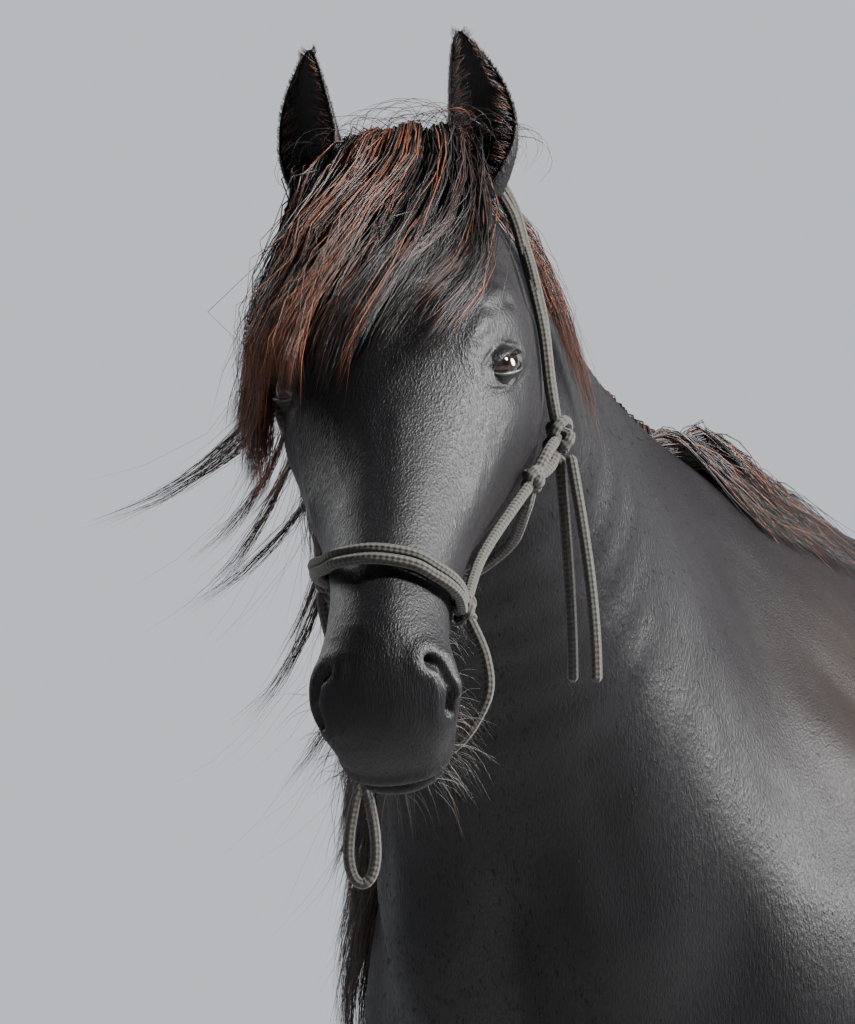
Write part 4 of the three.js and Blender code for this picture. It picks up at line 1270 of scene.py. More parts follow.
@dataclass
class Tubes:
    """Closed tubes gathered into one mesh, with a map of metres along and turns round."""

    sides: int = 16
    step: float = 1.8
    pitch: float = 9.0

    def __post_init__(self) -> None:
        """Starts with no tube."""
        self.verts: list = []
        self.faces: list = []
        self.marks: list = []
        self.total = 0

    def path(self, points: Array) -> Array:
        """Lays a smooth path with even steps.

        Args:
            points: stops, in millimetres.

        Returns:
            The points of the path.
        """
        dense = along_curve(np.array([points]), np.linspace(0, 1, 24 * len(points))[None])[0]
        length = np.append(0, np.cumsum(np.linalg.norm(np.diff(dense, axis=0), axis=1)))
        even = np.linspace(0, length[-1], max(6, round(length[-1] / self.step)))
        return np.stack([np.interp(even, length, dense[:, k]) for k in range(3)], 1)

    def add(self, points: Array, radius: float, weave: float = 0.0) -> Array:
        """Adds a tube.

        Args:
            points: stops of its centre line, in millimetres.
            radius: radius of the tube.
            weave: share by which the strands of a braid stand out.

        Returns:
            The centre line.
        """
        line = self.path(points)
        count = len(line)
        along = unit(np.gradient(line, axis=0))
        across = np.zeros((count, 3))
        across[0] = unit(np.cross(along[0], [0.31, 0.2, 0.93]))
        for i in range(1, count):
            across[i] = unit(across[i - 1] - along[i] * (across[i - 1] @ along[i]))
        up = np.cross(along, across)
        turn = np.arange(self.sides) * 2 * np.pi / self.sides
        far = np.arange(count)[:, None] * self.step
        strands, run = 4 * turn[None], far * 2 * np.pi / self.pitch
        size = radius * (1 + weave * np.sin(strands + run) * np.sin(strands - run))
        ends = np.minimum(np.arange(count), np.arange(count)[::-1])[:, None]
        size = size * np.sqrt(np.minimum(1, (ends + 0.35) / 2.4))
        ring = line[:, None] + size[..., None] * (
            np.cos(turn)[None, :, None] * across[:, None] + np.sin(turn)[None, :, None] * up[:, None]
        )
        self.join(ring, line, far)
        return line

    def join(self, ring: Array, line: Array, far: Array) -> None:
        """Adds the vertices and faces of one tube.

        Args:
            ring: rings by sides by 3.
            line: the centre line.
            far: distance along it.
        """
        count, n = ring.shape[:2]
        base = self.total
        self.verts.append(np.concatenate([ring.reshape(-1, 3), line[:1], line[-1:]]))
        self.total += count * n + 2
        for i in range(count - 1):
            for k in range(n):
                a, b = base + i * n + k, base + i * n + (k + 1) % n
                self.faces.append((a, b, b + n, a + n))
                low, high = far[i, 0] * MM, far[i + 1, 0] * MM
                self.marks += [(low, k / n), (low, (k + 1) / n), (high, (k + 1) / n), (high, k / n)]
        first, last = base + count * n, base + count * n + 1
        for k in range(n):
            a, b = base + k, base + (k + 1) % n
            self.faces.append((first, b, a))
            self.faces.append((last, a + (count - 1) * n, b + (count - 1) * n))
            self.marks += [(0, 0), (0, (k + 1) / n), (0, k / n)]
            self.marks += [(far[-1, 0] * MM, 0), (far[-1, 0] * MM, k / n), (far[-1, 0] * MM, (k + 1) / n)]

    def mesh(self, name: str, body: Body) -> Mesh:
        """Makes the mesh of all tubes.

        Args:
            name: the mesh's name.
            body: the horse.

        Returns:
            The mesh.
        """
        mesh = bpy.data.meshes.new(name)
        mesh.from_pydata(body.metres(np.concatenate(self.verts)).tolist(), [], self.faces)
        mesh.uv_layers.new(name="RopeMap").data.foreach_set("uv", np.array(self.marks).ravel())
        mesh.shade_smooth()
        return mesh


@dataclass
class Halter:
    """Rope halter: doubled noseband and crown, cheek ropes, chin and throat ropes, and free ends."""

    body: Body
    radius: float = 4.8
    weave: float = 0.045
    nose: tuple = ((-0.31, 374), (-0.22, 402), (-0.12, 433), (0, 451), (0.12, 455), (0.22, 447), (0.31, 433))
    chin_knot: tuple = (-40, 508, -190)
    crown_side: tuple = ((165, 0.272), (125, 0.235), (85, 0.215), (45, 0.215))
    crown_top: tuple = ((88, 6, -66), (66, -28, -48), (34, -50, -34), (0, -56, -31))
    chin_stops: tuple = ((67, 466, -124), (62, 490, -150), (24, 508, -184))
    chin_return: tuple = ((-60, 480, -172), (-64, 428, -150), (-70, 390, -116))
    throat_stops: tuple = (
        (86, 262, -170),
        (58, 250, -226),
        (0, 244, -262),
        (-58, 236, -226),
        (-86, 246, -170),
    )
    drop: float = 190.0
    loop: float = 84.0

    def __post_init__(self) -> None:
        """Places the knots."""
        over = self.body.head.outside
        self.knots = {
            "nose": (over(437, 0.32, 8), over(380, -0.32, 8)),
            "small": (over(252, 0.315, 10), over(262, -0.34, 8)),
            "tie": (over(193, 0.315, 14), over(172, -0.36, 10)),
        }

    def placed(self, stops: list) -> Array:
        """Returns stops of the head's frame in the horse's frame."""
        return self.body.head.place(np.array(stops, float))

    def knot(self, tubes: Tubes, centre: Array, size: float) -> None:
        """Adds a knot: a rope that crosses over itself three times.

        Args:
            tubes: the tubes that get it.
            centre: its centre in the head's frame.
            size: its radius.
        """
        turn = np.linspace(0, 2 * np.pi, 22)
        out = unit(centre * [1, 0, 1] - np.array([0, 0, -90.0]))
        down = np.array([0.0, 1.0, 0.0])
        side = np.cross(out, down)
        reach = (2 + np.cos(3 * turn)) / 3 * (size - 0.45 * self.radius)
        rise = 0.42 * size * np.sin(3 * turn)
        line = np.stack([reach * np.cos(2 * turn), reach * np.sin(2 * turn), rise], 1)
        tubes.add(self.placed(centre + line @ np.array([down, side, out])), self.radius * 0.94, self.weave)

    def rope(self, tubes: Tubes, stops: list) -> None:
        """Adds a rope through stops of the head's frame."""
        tubes.add(self.placed(stops), self.radius, self.weave)

    def cords(self, rope: Material) -> None:
        """Makes the free ends: two hang from the left tie knot, a loop hangs under the chin.

        Args:
            rope: the finish of the rope.
        """
        start = self.placed([self.knots["tie"][0]])[0]
        for name, shift in (("front", 5.0), ("back", -6.0)):
            s = np.array([0, 0.12, 0.3, 0.55, 0.8, 1])
            swing = (18 + 6 * shift / 5) * np.sin(1.6 * s)
            stops = start + [8 + shift, -2, -15] + np.stack([swing, 4 * s, -self.drop * s], 1)
            self.free(f"halter_tie_end_{name}", stops, rope, "bare")
        top = self.placed([self.chin_knot])[0] + [-6, -4, -13]
        turn = np.arange(13) / 12 * 2 * np.pi
        low = (1 - np.cos(turn)) / 2
        half = 15 * np.sin(turn) * (0.35 + 0.65 * low)
        stops = top + np.stack([-0.8 * half, -0.6 * half, -self.loop * low], 1)
        stops[0] += [-4, -3, 0]
        stops[12] += [4, 3, 0]
        self.free("halter_chin_loop", stops, rope, "object")

    def free(self, name: str, stops: Array, rope: Material, end: str) -> None:
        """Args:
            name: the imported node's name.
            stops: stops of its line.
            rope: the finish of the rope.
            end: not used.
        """
        tubes = Tubes()
        line = self.body.metres(tubes.add(stops, self.radius, self.weave))
        piece = new_piece(f"{name}_rope", tubes.mesh(name, self.body), rope, (name,))

    def build(self, rope: Material) -> None:
        """Makes the parts that lie on the head.

        Args:
            rope: the finish of the rope.
        """
        over = self.body.head.outside
        for i, (name, side, middle) in enumerate((("left", 1, 356), ("right", -1, 312))):
            nose, small, tie = (np.array(self.knots[key][i]) for key in ("nose", "small", "tie"))
            tubes = Tubes()
            self.rope(tubes, [nose, over(middle, side * 0.325, self.radius + 2.5), small])
            for shift in (-1, 1):
                self.rope(tubes, [small, (small + tie) / 2 + [side * 3, 0, shift * 8], tie])
            self.knot(tubes, small, 11)
            self.knot(tubes, tie, 17 if side > 0 else 12)
            self.piece(f"halter_cheek_{name}", tubes, rope)
        tubes = Tubes()
        route = Track([list(stop) for stop in self.nose]).at(np.linspace(0, 1, 13))
        for shift in (0, 2 * self.radius + 0.6):
            self.rope(tubes, [over(down + shift, round_, self.radius + 2.2) for round_, down in route])
        for centre in self.knots["nose"]:
            self.knot(tubes, centre, 12.5)
        self.piece("halter_noseband", tubes, rope)
        tubes = Tubes()
        left = [over(down, round_, self.radius + 1.5) for down, round_ in self.crown_side]
        left = np.array([*left, *self.crown_top], float)
        arch = np.concatenate([left, (left * [-1, 1, 1])[-2::-1]])
        for shift in (-1, 1):
            stops = arch + [0, 5.2 * shift, -shift]
            self.rope(tubes, [self.knots["tie"][0], *stops, self.knots["tie"][1]])
        self.piece("halter_crown", tubes, rope)
        tubes = Tubes()
        nose = self.knots["nose"]
        self.rope(tubes, [nose[0], *self.chin_stops, self.chin_knot, *self.chin_return, nose[1]])
        self.knot(tubes, np.array(self.chin_knot, float), 13)
        self.piece("halter_chin_rope", tubes, rope)
        tubes = Tubes()
        small = self.knots["small"]
        self.rope(tubes, [small[0], *self.throat_stops, small[1]])
        self.piece("halter_throat_rope", tubes, rope)

    def piece(self, name: str, tubes: Tubes, rope: Material) -> None:
        """Makes the piece that stands for one packed rope."""
        new_piece(f"{name}_braid", tubes.mesh(name, self.body), rope, (name,))


@dataclass
class Ears:
    """Two ears as rolled cups, with the hair in them."""

    body: Body
    base: tuple = (62, 10, -46)
    length: float = 140.0
    half: float = 29.0
    wall: float = 4.5
    turn: float = 10.0

    def frame(self, side: int) -> tuple:
        """Works out the directions of an ear, in the head's frame of the left side.

        Args:
            side: 1 for the left side, -1 for the right one.

        Returns:
            Front, up and outward.
        """
        turn = math.radians(self.turn + (10 if side < 0 else 0))
        pitch = math.radians(self.body.head.pitch)
        front = unit(np.array([math.tan(turn), math.cos(pitch), math.sin(pitch)]))
        up = np.array([0.1, -math.sin(pitch), math.cos(pitch)])
        up = unit(up - front * (up @ front))
        outward = np.cross(up, front)
        return front, up, outward if outward[0] > 0 else -outward

    def point(self, side: int, t: Array, share: Array, inner: Array | float) -> Array:
        """Returns points of an ear.

        Args:
            side: 1 for the left ear, -1 for the right one.
            t: share of the length.
            share: share round the cup, from one edge to the other.
            inner: 0 on the outside, 1 on the inside.

        Returns:
            Points in the horse's frame.
        """
        front, up, outward = self.frame(side)
        t, share, inner = np.broadcast_arrays(np.asarray(t, float), share, inner)
        half = self.half * np.sin(np.pi * (0.22 + 0.775 * t**1.05)) ** 0.75 + 0.8
        open_ = mix(0.3, 1.45, np.clip(2 * t, 0, 1))
        angle = mix(open_, 2 * np.pi - open_, share)
        thick = np.minimum(mix(self.wall, 1.6, t), half * 0.6)
        edge = np.clip(np.minimum(share, 1 - share) * 14, 0, 1) ** 0.5
        r = half - thick * (0.5 + (inner - 0.5) * edge)
        deep = mix(0.85, 0.5, t)
        lean = 9 * np.sin(np.pi * t) - 13 * t * t
        sway = 7 * t * t + (np.cos(angle) * deep + (1 - deep) * 0.4) * r
        p = np.array(self.base) + np.multiply.outer(self.length * t, up)
        p = p + np.multiply.outer(lean + np.sin(angle) * r, outward) + np.multiply.outer(sway, front)
        return self.body.head.place((p * [side, 1, 1]).reshape(-1, 3)).reshape(p.shape)

    def build(self, coat: Material) -> None:
        """Makes both ears.

        Args:
            coat: the finish of the coat.
        """
        t = np.linspace(0, 1, 64)[:, None]
        there = np.linspace(0, 1, 40)[None]
        for side in Side:
            outside = self.point(side.value, t, there, 0)
            inside = self.point(side.value, t, there[:, ::-1], 1)
            ring = np.concatenate([outside, inside[:, 1:], outside[:, :1]], 1)
            bm = bmesh.new()
            add_loft(bm, self.body.metres(ring))
            name = side.name.lower()
            new_piece(f"ear_{name}_skin", mesh_of(bm, f"ear_{name}"), coat, (f"ear_{name}",))


@dataclass
class Eyes:
    """Eyeballs with a raised cornea, rims of the lids and lashes."""

    skin: Skin
    lids: list = field(default_factory=list)

    def build(self, wet: Material, rim: Material) -> None:
        """Makes both eyes.

        Args:
            wet: the finish of the eyeballs.
            rim: the finish of the lids' rims.
        """
        body = self.skin.body
        for side in Side:
            axes = body.head.axes
            out, long, up = (self.skin.eye_axes() * [side.value, 1, 1]) @ axes
            centre = body.head.place(np.array([self.skin.eye_centre(side.value)]))[0]
            bm = bmesh.new()
            ball = bmesh.ops.create_uvsphere(bm, u_segments=64, v_segments=40, radius=self.skin.eye_radius)
            for vert in ball["verts"]:
                place = np.array(vert.co)
                bulge = 1 + 0.03 * float(ease((place @ out / self.skin.eye_radius - 0.72) / 0.25))
                vert.co = body.metres(centre + place * bulge)
            name = side.name.lower()
            new_piece(f"eyeball_{name}", mesh_of(bm, f"eyeball_{name}"), wet, (f"eye_{name}",))
            tubes = Tubes(sides=8, step=1.0)
            turn = np.linspace(0, 2 * np.pi, 33)
            u, v = self.skin.lid_line(turn)
            line = centre + np.outer(u, long) + np.outer(v, up)
            flat = np.sqrt(self.skin.eye_radius**2 - u**2 - v**2)
            self.lids.append((line + np.outer(flat + 2.6, out), out, long, up))
            tubes.add(line + np.outer(flat + 1.7, out), 1.45)
            mesh = tubes.mesh(f"lid_rim_{name}", body)
            new_piece(f"lid_rim_{name}", mesh, rim)


@dataclass
class Hooves:
    """Four hooves with growth rings."""

    body: Body
    top: float = 92.0
    heel_top: float = 62.0
    toe_run: float = 36.0
    heel_run: float = 8.0
    spread: float = 1.24
    over: float = 3.0

    def build(self, horn: Material) -> None:
        """Makes the hooves.

        Args:
            horn: the finish of the hooves.
        """
        share = np.append([0, 0.03], np.linspace(0.08, 1, 30))[::-1][:, None]
        angle = np.linspace(0, 2 * np.pi, 65)[None]
        for leg in self.body.legs:
            last = np.array(leg.rows[-1], float)
            front = np.cos(angle)
            high = mix(self.heel_top, self.top, (front + 1) / 2)
            grow = mix(self.spread, 1.0, share) * np.where(share > 0, 1, 0.96)
            ripple = 0.5 * np.sin(share * 46 + 1.5 * np.sin(2 * angle)) * np.sin(np.pi * share)
            run = mix(np.where(front > 0, self.toe_run, self.heel_run), 0, share) * np.abs(front)
            wide = last[3] * grow + self.over + ripple
            deep = last[4] * grow + self.over + ripple
            x = (last[0] + np.sin(angle) * wide) * leg.side
            y = last[1] - front * deep - run
            flat = np.stack([x, y, np.full(x.shape, leg.lowest)], -1)
            p = leg.stance(flat.reshape(-1, 3)).reshape(*x.shape, 3)
            p[..., 2] = high * share
            bm = bmesh.new()
            add_loft(bm, self.body.metres(p))
            name = f"{leg.name}_hoof"
            new_piece(f"{name}_horn", mesh_of(bm, name), horn, (name,))


@dataclass
class TailForm:
    """The fall of the tail: place, half width and half depth at stations down it."""

    rows: tuple = (
        (1170, 1490, 30, 34),
        (1232, 1500, 42, 42),
        (1282, 1462, 56, 52),
        (1312, 1390, 72, 62),
        (1326, 1290, 88, 72),
        (1332, 1160, 102, 80),
        (1334, 1000, 112, 84),
        (1332, 820, 116, 86),
        (1328, 640, 114, 82),
        (1322, 460, 106, 74),
        (1316, 300, 94, 66),
        (1312, 170, 84, 60),
        (1310, 90, 76, 54),
    )

    def __post_init__(self) -> None:
        """Reads the stations."""
        self.stations = Track(list(self.rows))

    def point(self, t: Array, angle: Array, share: Array | float = 1.0) -> Array:
        """Returns points of the tail.

        Args:
            t: share of the way down.
            angle: angle round it, from the left side.
            share: share of the radius.

        Returns:
            One point for each share.
        """
        t, angle, share = np.broadcast_arrays(np.asarray(t, float), angle, share)
        at, flat = self.stations.at, t.ravel()
        row = at(flat).reshape(*t.shape, 4)
        ahead = at(np.clip(flat + 0.02, 0, 1)) - at(np.clip(flat - 0.02, 0, 1))
        along = unit(ahead[:, :2]).reshape(*t.shape, 2)
        x = np.cos(angle) * row[..., 2] * share
        deep = np.sin(angle) * row[..., 3] * share
        return np.stack([x, row[..., 0] - along[..., 1] * deep, row[..., 1] + along[..., 0] * deep], -1)


class Atlas:
    """An unwrap of the horse's own shape: one chart for trunk, head, tail and each leg."""

    def __init__(self, body: Body, tail: TailForm) -> None:
        """Lays the forms out on the map.

        Args:
            body: the horse.
            tail: the tail's form.
        """
        self.places: list = []
        self.spots: list = []
        ring = np.linspace(0, 1, 49)[:-1]
        t = np.linspace(0, 1, 120)
        self.chart((0.01, 0.01), (0.47, 0.60), body.trunk.point(t[:, None], ring[None]))
        length = body.head.rows[-1][0]
        self.chart((0.51, 0.01), (0.47, 0.36), body.head.point(length * t[:, None], ring[None]))
        self.chart((0.51, 0.40), (0.47, 0.20), tail.point(t[:, None], 2 * np.pi * ring[None]))
        for i, leg in enumerate(body.legs):
            self.chart((0.01 + 0.245 * i, 0.64), (0.23, 0.34), leg.point(t[:, None], ring[None]))
        places = body.metres(np.concatenate(self.places))
        self.spots = np.concatenate(self.spots)
        self.tree = KDTree(len(places))
        for i, place in enumerate(places):
            self.tree.insert(place, i)
        self.tree.balance()

    def chart(self, corner: tuple, size: tuple, rows: Array) -> None:
        """Adds one form's samples at a corner of the map.

        Args:
            corner: its lower corner on the map.
            size: its width and height there.
            rows: rings of points over the form.
        """
        down, across = (np.linspace(0, 1, count) for count in rows.shape[:2])
        down, across = np.meshgrid(down, across, indexing="ij")
        spot = np.stack([corner[0] + size[0] * across, corner[1] + size[1] * down], -1)
        self.places.append(rows.reshape(-1, 3))
        self.spots.append(spot.reshape(-1, 2))

    def find(self, roots: Array) -> Array:
        """Returns the place on the map of each root."""
        return self.spots[[self.tree.find(root)[1] for root in roots]]


@dataclass
class Tones:
    """Colours of hair."""

    black: tuple = (0.0045, 0.0040, 0.0042)
    brown: tuple = (0.022, 0.0125, 0.0080)
    auburn: tuple = (0.330, 0.095, 0.034)
    grey: tuple = (0.016, 0.015, 0.016)
    pale: tuple = (0.20, 0.19, 0.17)


@dataclass
class Strands:
    """Solid tapered strands of hair, gathered and cut into pieces."""

    name: str
    atlas: Atlas
    seed: int
    steps: int = 10
    patch: float = 0.003

    def __post_init__(self) -> None:
        """Starts with no strand."""
        self.rng = np.random.default_rng(self.seed)
        self.paths: list = []
        self.widths: list = []
        self.colors: list = []

    def add(self, paths: Array, width: Array, root: Array, tip: Array) -> None:
        """Adds strands.

        Args:
            paths: strands by points by 3, in metres.
            width: radius of each strand near its root, in metres.
            root: colour at each root.
            tip: colour at each tip.
        """
        count = len(paths)
        self.paths.append(along_curve(paths, np.tile(np.linspace(0, 1, self.steps + 1), (count, 1))))
        self.widths.append(np.broadcast_to(width, count))
        self.colors.append(np.stack([np.broadcast_to(c, (count, 3)) for c in (root, tip)], 1))

    def build(self, material: Material, slot: str, nodes: tuple = ()) -> None:
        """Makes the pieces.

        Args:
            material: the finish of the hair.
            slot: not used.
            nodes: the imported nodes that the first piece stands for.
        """
        paths, width = np.concatenate(self.paths), np.concatenate(self.widths)
        colors = np.concatenate(self.colors)
        spots = self.atlas.find(paths[:, 0])
        each = PIECE_LIMIT // (6 * self.steps - 2)
        parts = math.ceil(len(paths) / each)
        for i in range(parts):
            cut = slice(i, None, parts)
            name = self.name if parts == 1 else f"{self.name}_{i + 1}"
            mesh = self.mesh(name, paths[cut], width[cut], colors[cut], spots[cut])
            new_piece(name, mesh, material, nodes if i == 0 else ())

    def mesh(self, name: str, centre: Array, width: Array, colors: Array, spots: Array) -> Mesh:
        """Makes the mesh of some strands: three-sided, closed at the root, with a single tip.

        Args:
            name: the mesh's name.
            centre: strands by points by 3, the middle of each hair.
            width: radius of each hair.
            colors: strands by 2 by 3, the colours of roots and tips.
            spots: the place on the map of each root.

        Returns:
            The mesh, with its map and its colours.
        """
        count, steps = len(centre), self.steps
        along = unit(np.gradient(centre, axis=1))
        side = unit(np.cross(along, unit(self.rng.normal(size=(count, 1, 3)))))
        up = np.cross(along, side)
        s = np.linspace(0, 1, steps + 1)
        taper = (0.75 + 0.35 * np.sin(np.pi * np.minimum(1, s * 1.6))) * (1 - 0.8 * s**2)
        radius = (width[:, None] * taper[None])[..., None]
        corners = [2 * np.pi * k / 3 for k in range(3)]
        rings = np.stack([centre + radius * (math.cos(a) * side + math.sin(a) * up) for a in corners], 2)
        body = rings[:, :steps].reshape(count, -1, 3)
        verts = np.concatenate([body, centre[:, -1:]], 1)
        each = verts.shape[1]
        sides = [(i, k, (k + 1) % 3) for i in range(steps - 1) for k in range(3)]
        quads = [(3 * i + k, 3 * i + m, 3 * i + 3 + m, 3 * i + 3 + k) for i, k, m in sides]
        last = 3 * (steps - 1)
        tris = [(0, 2, 1)] + [(last + k, last + (k + 1) % 3, each - 1) for k in range(3)]
        quad_map = [(k, i, k + 1, i, k + 1, i + 1, k, i + 1) for i, k, _ in sides]
        tri_map = [(0, 0, 2, 0, 1, 0)] + [(k, steps - 1, k + 1, steps - 1, k + 0.5, steps) for k in range(3)]
        loops = np.array([*np.array(quads).ravel(), *np.array(tris).ravel()])
        marks = np.array([*np.array(quad_map).ravel(), *np.array(tri_map).ravel()], float).reshape(-1, 2)
        starts = np.array([*range(0, 4 * len(quads), 4), *range(4 * len(quads), len(loops), 3)])
        mesh = bpy.data.meshes.new(name)
        mesh.vertices.add(count * each)
        mesh.vertices.foreach_set("co", verts.ravel())
        mesh.loops.add(count * len(loops))
        shift = np.arange(count)[:, None]
        mesh.loops.foreach_set("vertex_index", (loops[None] + shift * each).ravel().astype(np.int32))
        mesh.polygons.add(count * len(starts))
        mesh.polygons.foreach_set("loop_start", (starts[None] + shift * len(loops)).ravel().astype(np.int32))
        mesh.update(calc_edges=True)
        layer = mesh.uv_layers.new(name="OFBake")
        flat = spots[:, None] + marks[None] / [3, steps] * self.patch
        layer.data.foreach_set("uv", flat.ravel())
        share = np.append(np.repeat(s[:steps], 3), 1.0) ** 1.6
        tint = mix(colors[:, :1], colors[:, 1:], share[None, :, None])
        shade = np.concatenate([tint, np.ones((*tint.shape[:2], 1))], 2)
        colored = mesh.color_attributes.new("strand", "FLOAT_COLOR", "POINT")
        colored.data.foreach_set("color", shade.ravel())
        mesh.shade_smooth()
        return mesh


@dataclass
class Hair:
    """All long hair, the short tufts of the coat, lashes and whiskers."""

    body: Body
    atlas: Atlas
    tail: TailForm
    tones: Tones = field(default_factory=Tones)
    mane_locks: int = 150
    mane_each: int = 42
    withers_locks: int = 44
    withers_each: int = 34
    forelock_locks: int = 60
    forelock_each: int = 44
    tail_locks: int = 110
    tail_each: int = 29
    feather_locks: int = 34
    feather_each: int = 26
    tufts: int = 30000
    wind: tuple = (-0.82, -0.57, 0.0)
    blown: tuple = (
        (0.03, 1.05),
        (0.10, 0.8),
        (0.2, 0.95),
        (0.36, 0.8),
        (0.48, 0.75),
        (0.62, 0.6),
        (0.74, 0.55),
    )
    feather_rows: tuple = (
        (330, 32, 40, 6),
        (270, 44, 52, 20),
        (215, 56, 62, 36),
        (160, 66, 68, 42),
        (110, 74, 72, 38),
        (60, 80, 76, 30),
        (12, 84, 80, 26),
    )

    def mane_path(self, u: Array, lift: Array, far: Array, curl: Array, blow: Array | float) -> Array:
        """Draws hair that grows along the crest, blown to the far side.

        Args:
            u: share of the crest, from the poll back.
            lift: height over the skin.
            far: share of the full length.
            curl: size of its wave.
            blow: how hard the wind blows it.

        Returns:
            One curve for each share.
        """
        over = self.body.trunk.point
        t = mix(0.945, 0.6, u)
        blow = np.broadcast_to(blow, u.shape)
        blown, drop = (mix(185, 150, u) * blow)[:, None], mix(225, 430, u**0.7)[:, None]
        fall = over(t, -0.2, 8 + lift)
        clings = (mix(0.8, 1, ease((u - 0.3) / 0.3)) * np.clip(1.3 - 1.3 * blow, 0, 1))[:, None]

        def hang(s: Array) -> Array:
            """Draws the free part of the curve.

            Args:
                s: share of the way.

            Returns:
                One point for each hair.
            """
            k = s[:, None]
            sway = np.stack([-30 * s, curl * np.sin(5 * s), lift * s], 1)
            sway[:, 2:] -= drop * np.sin(1.3 * k)
            loose = fall + np.array(self.wind) * blown * k**2 + sway
            return mix(loose, over(t - 0.03 * s, -0.2 - 0.17 * s, 10 + lift), clings)

        points = [over(t, 0.01, -14), over(t, -0.04, lift), over(t, -0.11, 6 + lift), fall]
        points += [hang(0.33 * far), hang(0.66 * far), hang(far)]
        return np.stack(points, 1)

    def forelock_path(self, u: Array, lift: Array, far: Array) -> Array:
        """Draws hair that falls from the poll over the forehead.

        Args:
            u: share across the forelock.
            lift: height over the skin.
            far: share of the full length.

        Returns:
            One curve for each share.
        """
        root = self.body.trunk.point(mix(0.945, 0.975, far), mix(0.05, -0.06, u), -12)
        stops = [
            (u * 0 - 50, mix(0.075, -0.10, u), 50 + lift),
            (u * 0 - 18, mix(0.09, -0.12, u), 36 + lift),
            (u * 0 + 26, mix(0.100, -0.15, u), 12 + lift),
            (mix(60, 90, far), mix(0.098, -0.20, u), 8 + lift),
            (mix(100, 160, far), mix(0.090, -0.235, u), 9 + lift),
            (mix(140, 225, far), mix(0.072, -0.265, u), 10 + lift),
            (mix(165, mix(295, 310, u), far), mix(0.045, -0.3, u), mix(6, 34, u) + lift),
        ]
        return np.stack([root, *[self.body.head.point(*stop) for stop in stops]], 1)

    def gather(self, single: Array, lock: Array, pull: Array, frizz: Array, rng: Generator) -> Array:
        """Draws each hair to its lock and adds its own waves.

        Args:
            single: strands by points by 3, each hair alone.
            lock: the same for the middle of its lock.
            pull: how far each comes to its lock, from root to tip.
            frizz: size of the waves of each strand, in millimetres.
            rng: source of chance.

        Returns:
            The curves of the hairs.
        """
        count, points = single.shape[:2]
        s = np.linspace(0, 1, points)[None, :, None]
        near = pull[:, None, None] * np.sin(np.pi * np.minimum(1, s * 0.72) ** 0.9)
        offset = rng.normal(size=(count, points, 3)) * frizz[:, None, None] * s**0.8
        return mix(single, lock, near) + offset

    def tint(self, count: int, rng: Generator, red: Array | float) -> tuple:
        """Draws the colours of hairs.

        Args:
            count: how many hairs.
            rng: source of chance.
            red: share of reddish tips.

        Returns:
            Colours of roots and of tips.
        """
        tone = self.tones
        black, brown, auburn = (np.array(color) for color in (tone.black, tone.brown, tone.auburn))
        warm = rng.random((count, 1)) ** 2
        root = mix(black, brown, warm * 0.7)
        reddish = rng.random((count, 1)) < np.reshape(red, (-1, 1))
        tip = np.where(reddish, mix(brown, auburn, rng.random((count, 1))), root * 1.5)
        return np.where(reddish, mix(root, tip, 0.25), root), tip

    def grow(self, strands: Strands, paths: Array, width: tuple, colors: tuple) -> None:
        """Adds strands that are given in the horse's millimetres.

        Args:
            strands: the strands that get them.
            paths: strands by points by 3.
            width: least and greatest radius.
            colors: the colours of roots and tips.
        """
        strands.add(self.body.metres(paths), strands.rng.uniform(*width, len(paths)) * MM, *colors)

    def locks(self, count: int, each: int, rng: Generator) -> tuple:
        """Returns a random share for each lock, spread evenly, and the lock of each hair."""
        return (np.arange(count) + rng.random(count)) / count, np.repeat(np.arange(count), each)

    def mane(self, material: Material) -> None:
        """Makes the mane: locks over the crest, single wisps, and the short tuft at the withers.

        Args:
            material: the finish of the hair.
        """
        strands = Strands("mane", self.atlas, 11)
        rng = strands.rng
        place, lock = self.locks(self.mane_locks, self.mane_each, rng)
        count, n = len(place), len(lock)
        lift, far = rng.uniform(0, 26, count), rng.uniform(0.72, 1.04, count)
        curl = rng.normal(size=count) * 16
        own = rng.normal(size=n)
        blow = rng.uniform(0, 0.16, count)
        for spot, strength in self.blown:
            first = int(spot * count)
            blow[first : first + 2] = strength
        flying = blow[lock] > 0.4
        blow = blow[lock] * np.where(flying, rng.uniform(0.96, 1.04, n), rng.uniform(0.7, 1.2, n))
        u = np.clip(place[lock] + own * 0.012, 0, 1)
        reach = far[lock] * rng.uniform(0.72, 1.0, n)
        single = self.mane_path(u, lift[lock] + rng.normal(size=n) * 4, reach, curl[lock], blow)
        middle = self.mane_path(place[lock], lift[lock], reach, curl[lock], blow)
        pull = np.where(flying, rng.uniform(0.85, 1.0, n), rng.uniform(0.3, 0.95, n))
        paths = self.gather(single, middle, pull, rng.gamma(2.0, 2.2, n) * np.where(flying, 0.6, 1), rng)
        self.grow(strands, paths, (0.55, 1.0), self.tint(n, rng, mix(0.2, 0.06, u)))
        self.withers(strands)
        self.wisps(strands)
        strands.build(material, "coat")

    def wisps(self, strands: Strands) -> None:
        """Adds thin flying hairs of the mane.

        Args:
            strands: the strands that get them.
        """
        rng, n = strands.rng, 60
        u = rng.uniform(0, 0.75, n)
        lift, far = rng.uniform(5, 24, n), rng.uniform(0.8, 1.05, n)
        paths = self.mane_path(u, lift, far, rng.normal(size=n) * 20, rng.uniform(0.2, 1.0, n))
        s = np.linspace(0, 1, paths.shape[1])[None, :, None]
        push = np.stack([rng.uniform(-40, 10, n), rng.uniform(-40, 20, n), rng.uniform(-40, 40, n)], 1)
        paths = paths + push[:, None] * s**2
        self.grow(strands, paths, (0.3, 0.5), self.tint(n, rng, 0.4))

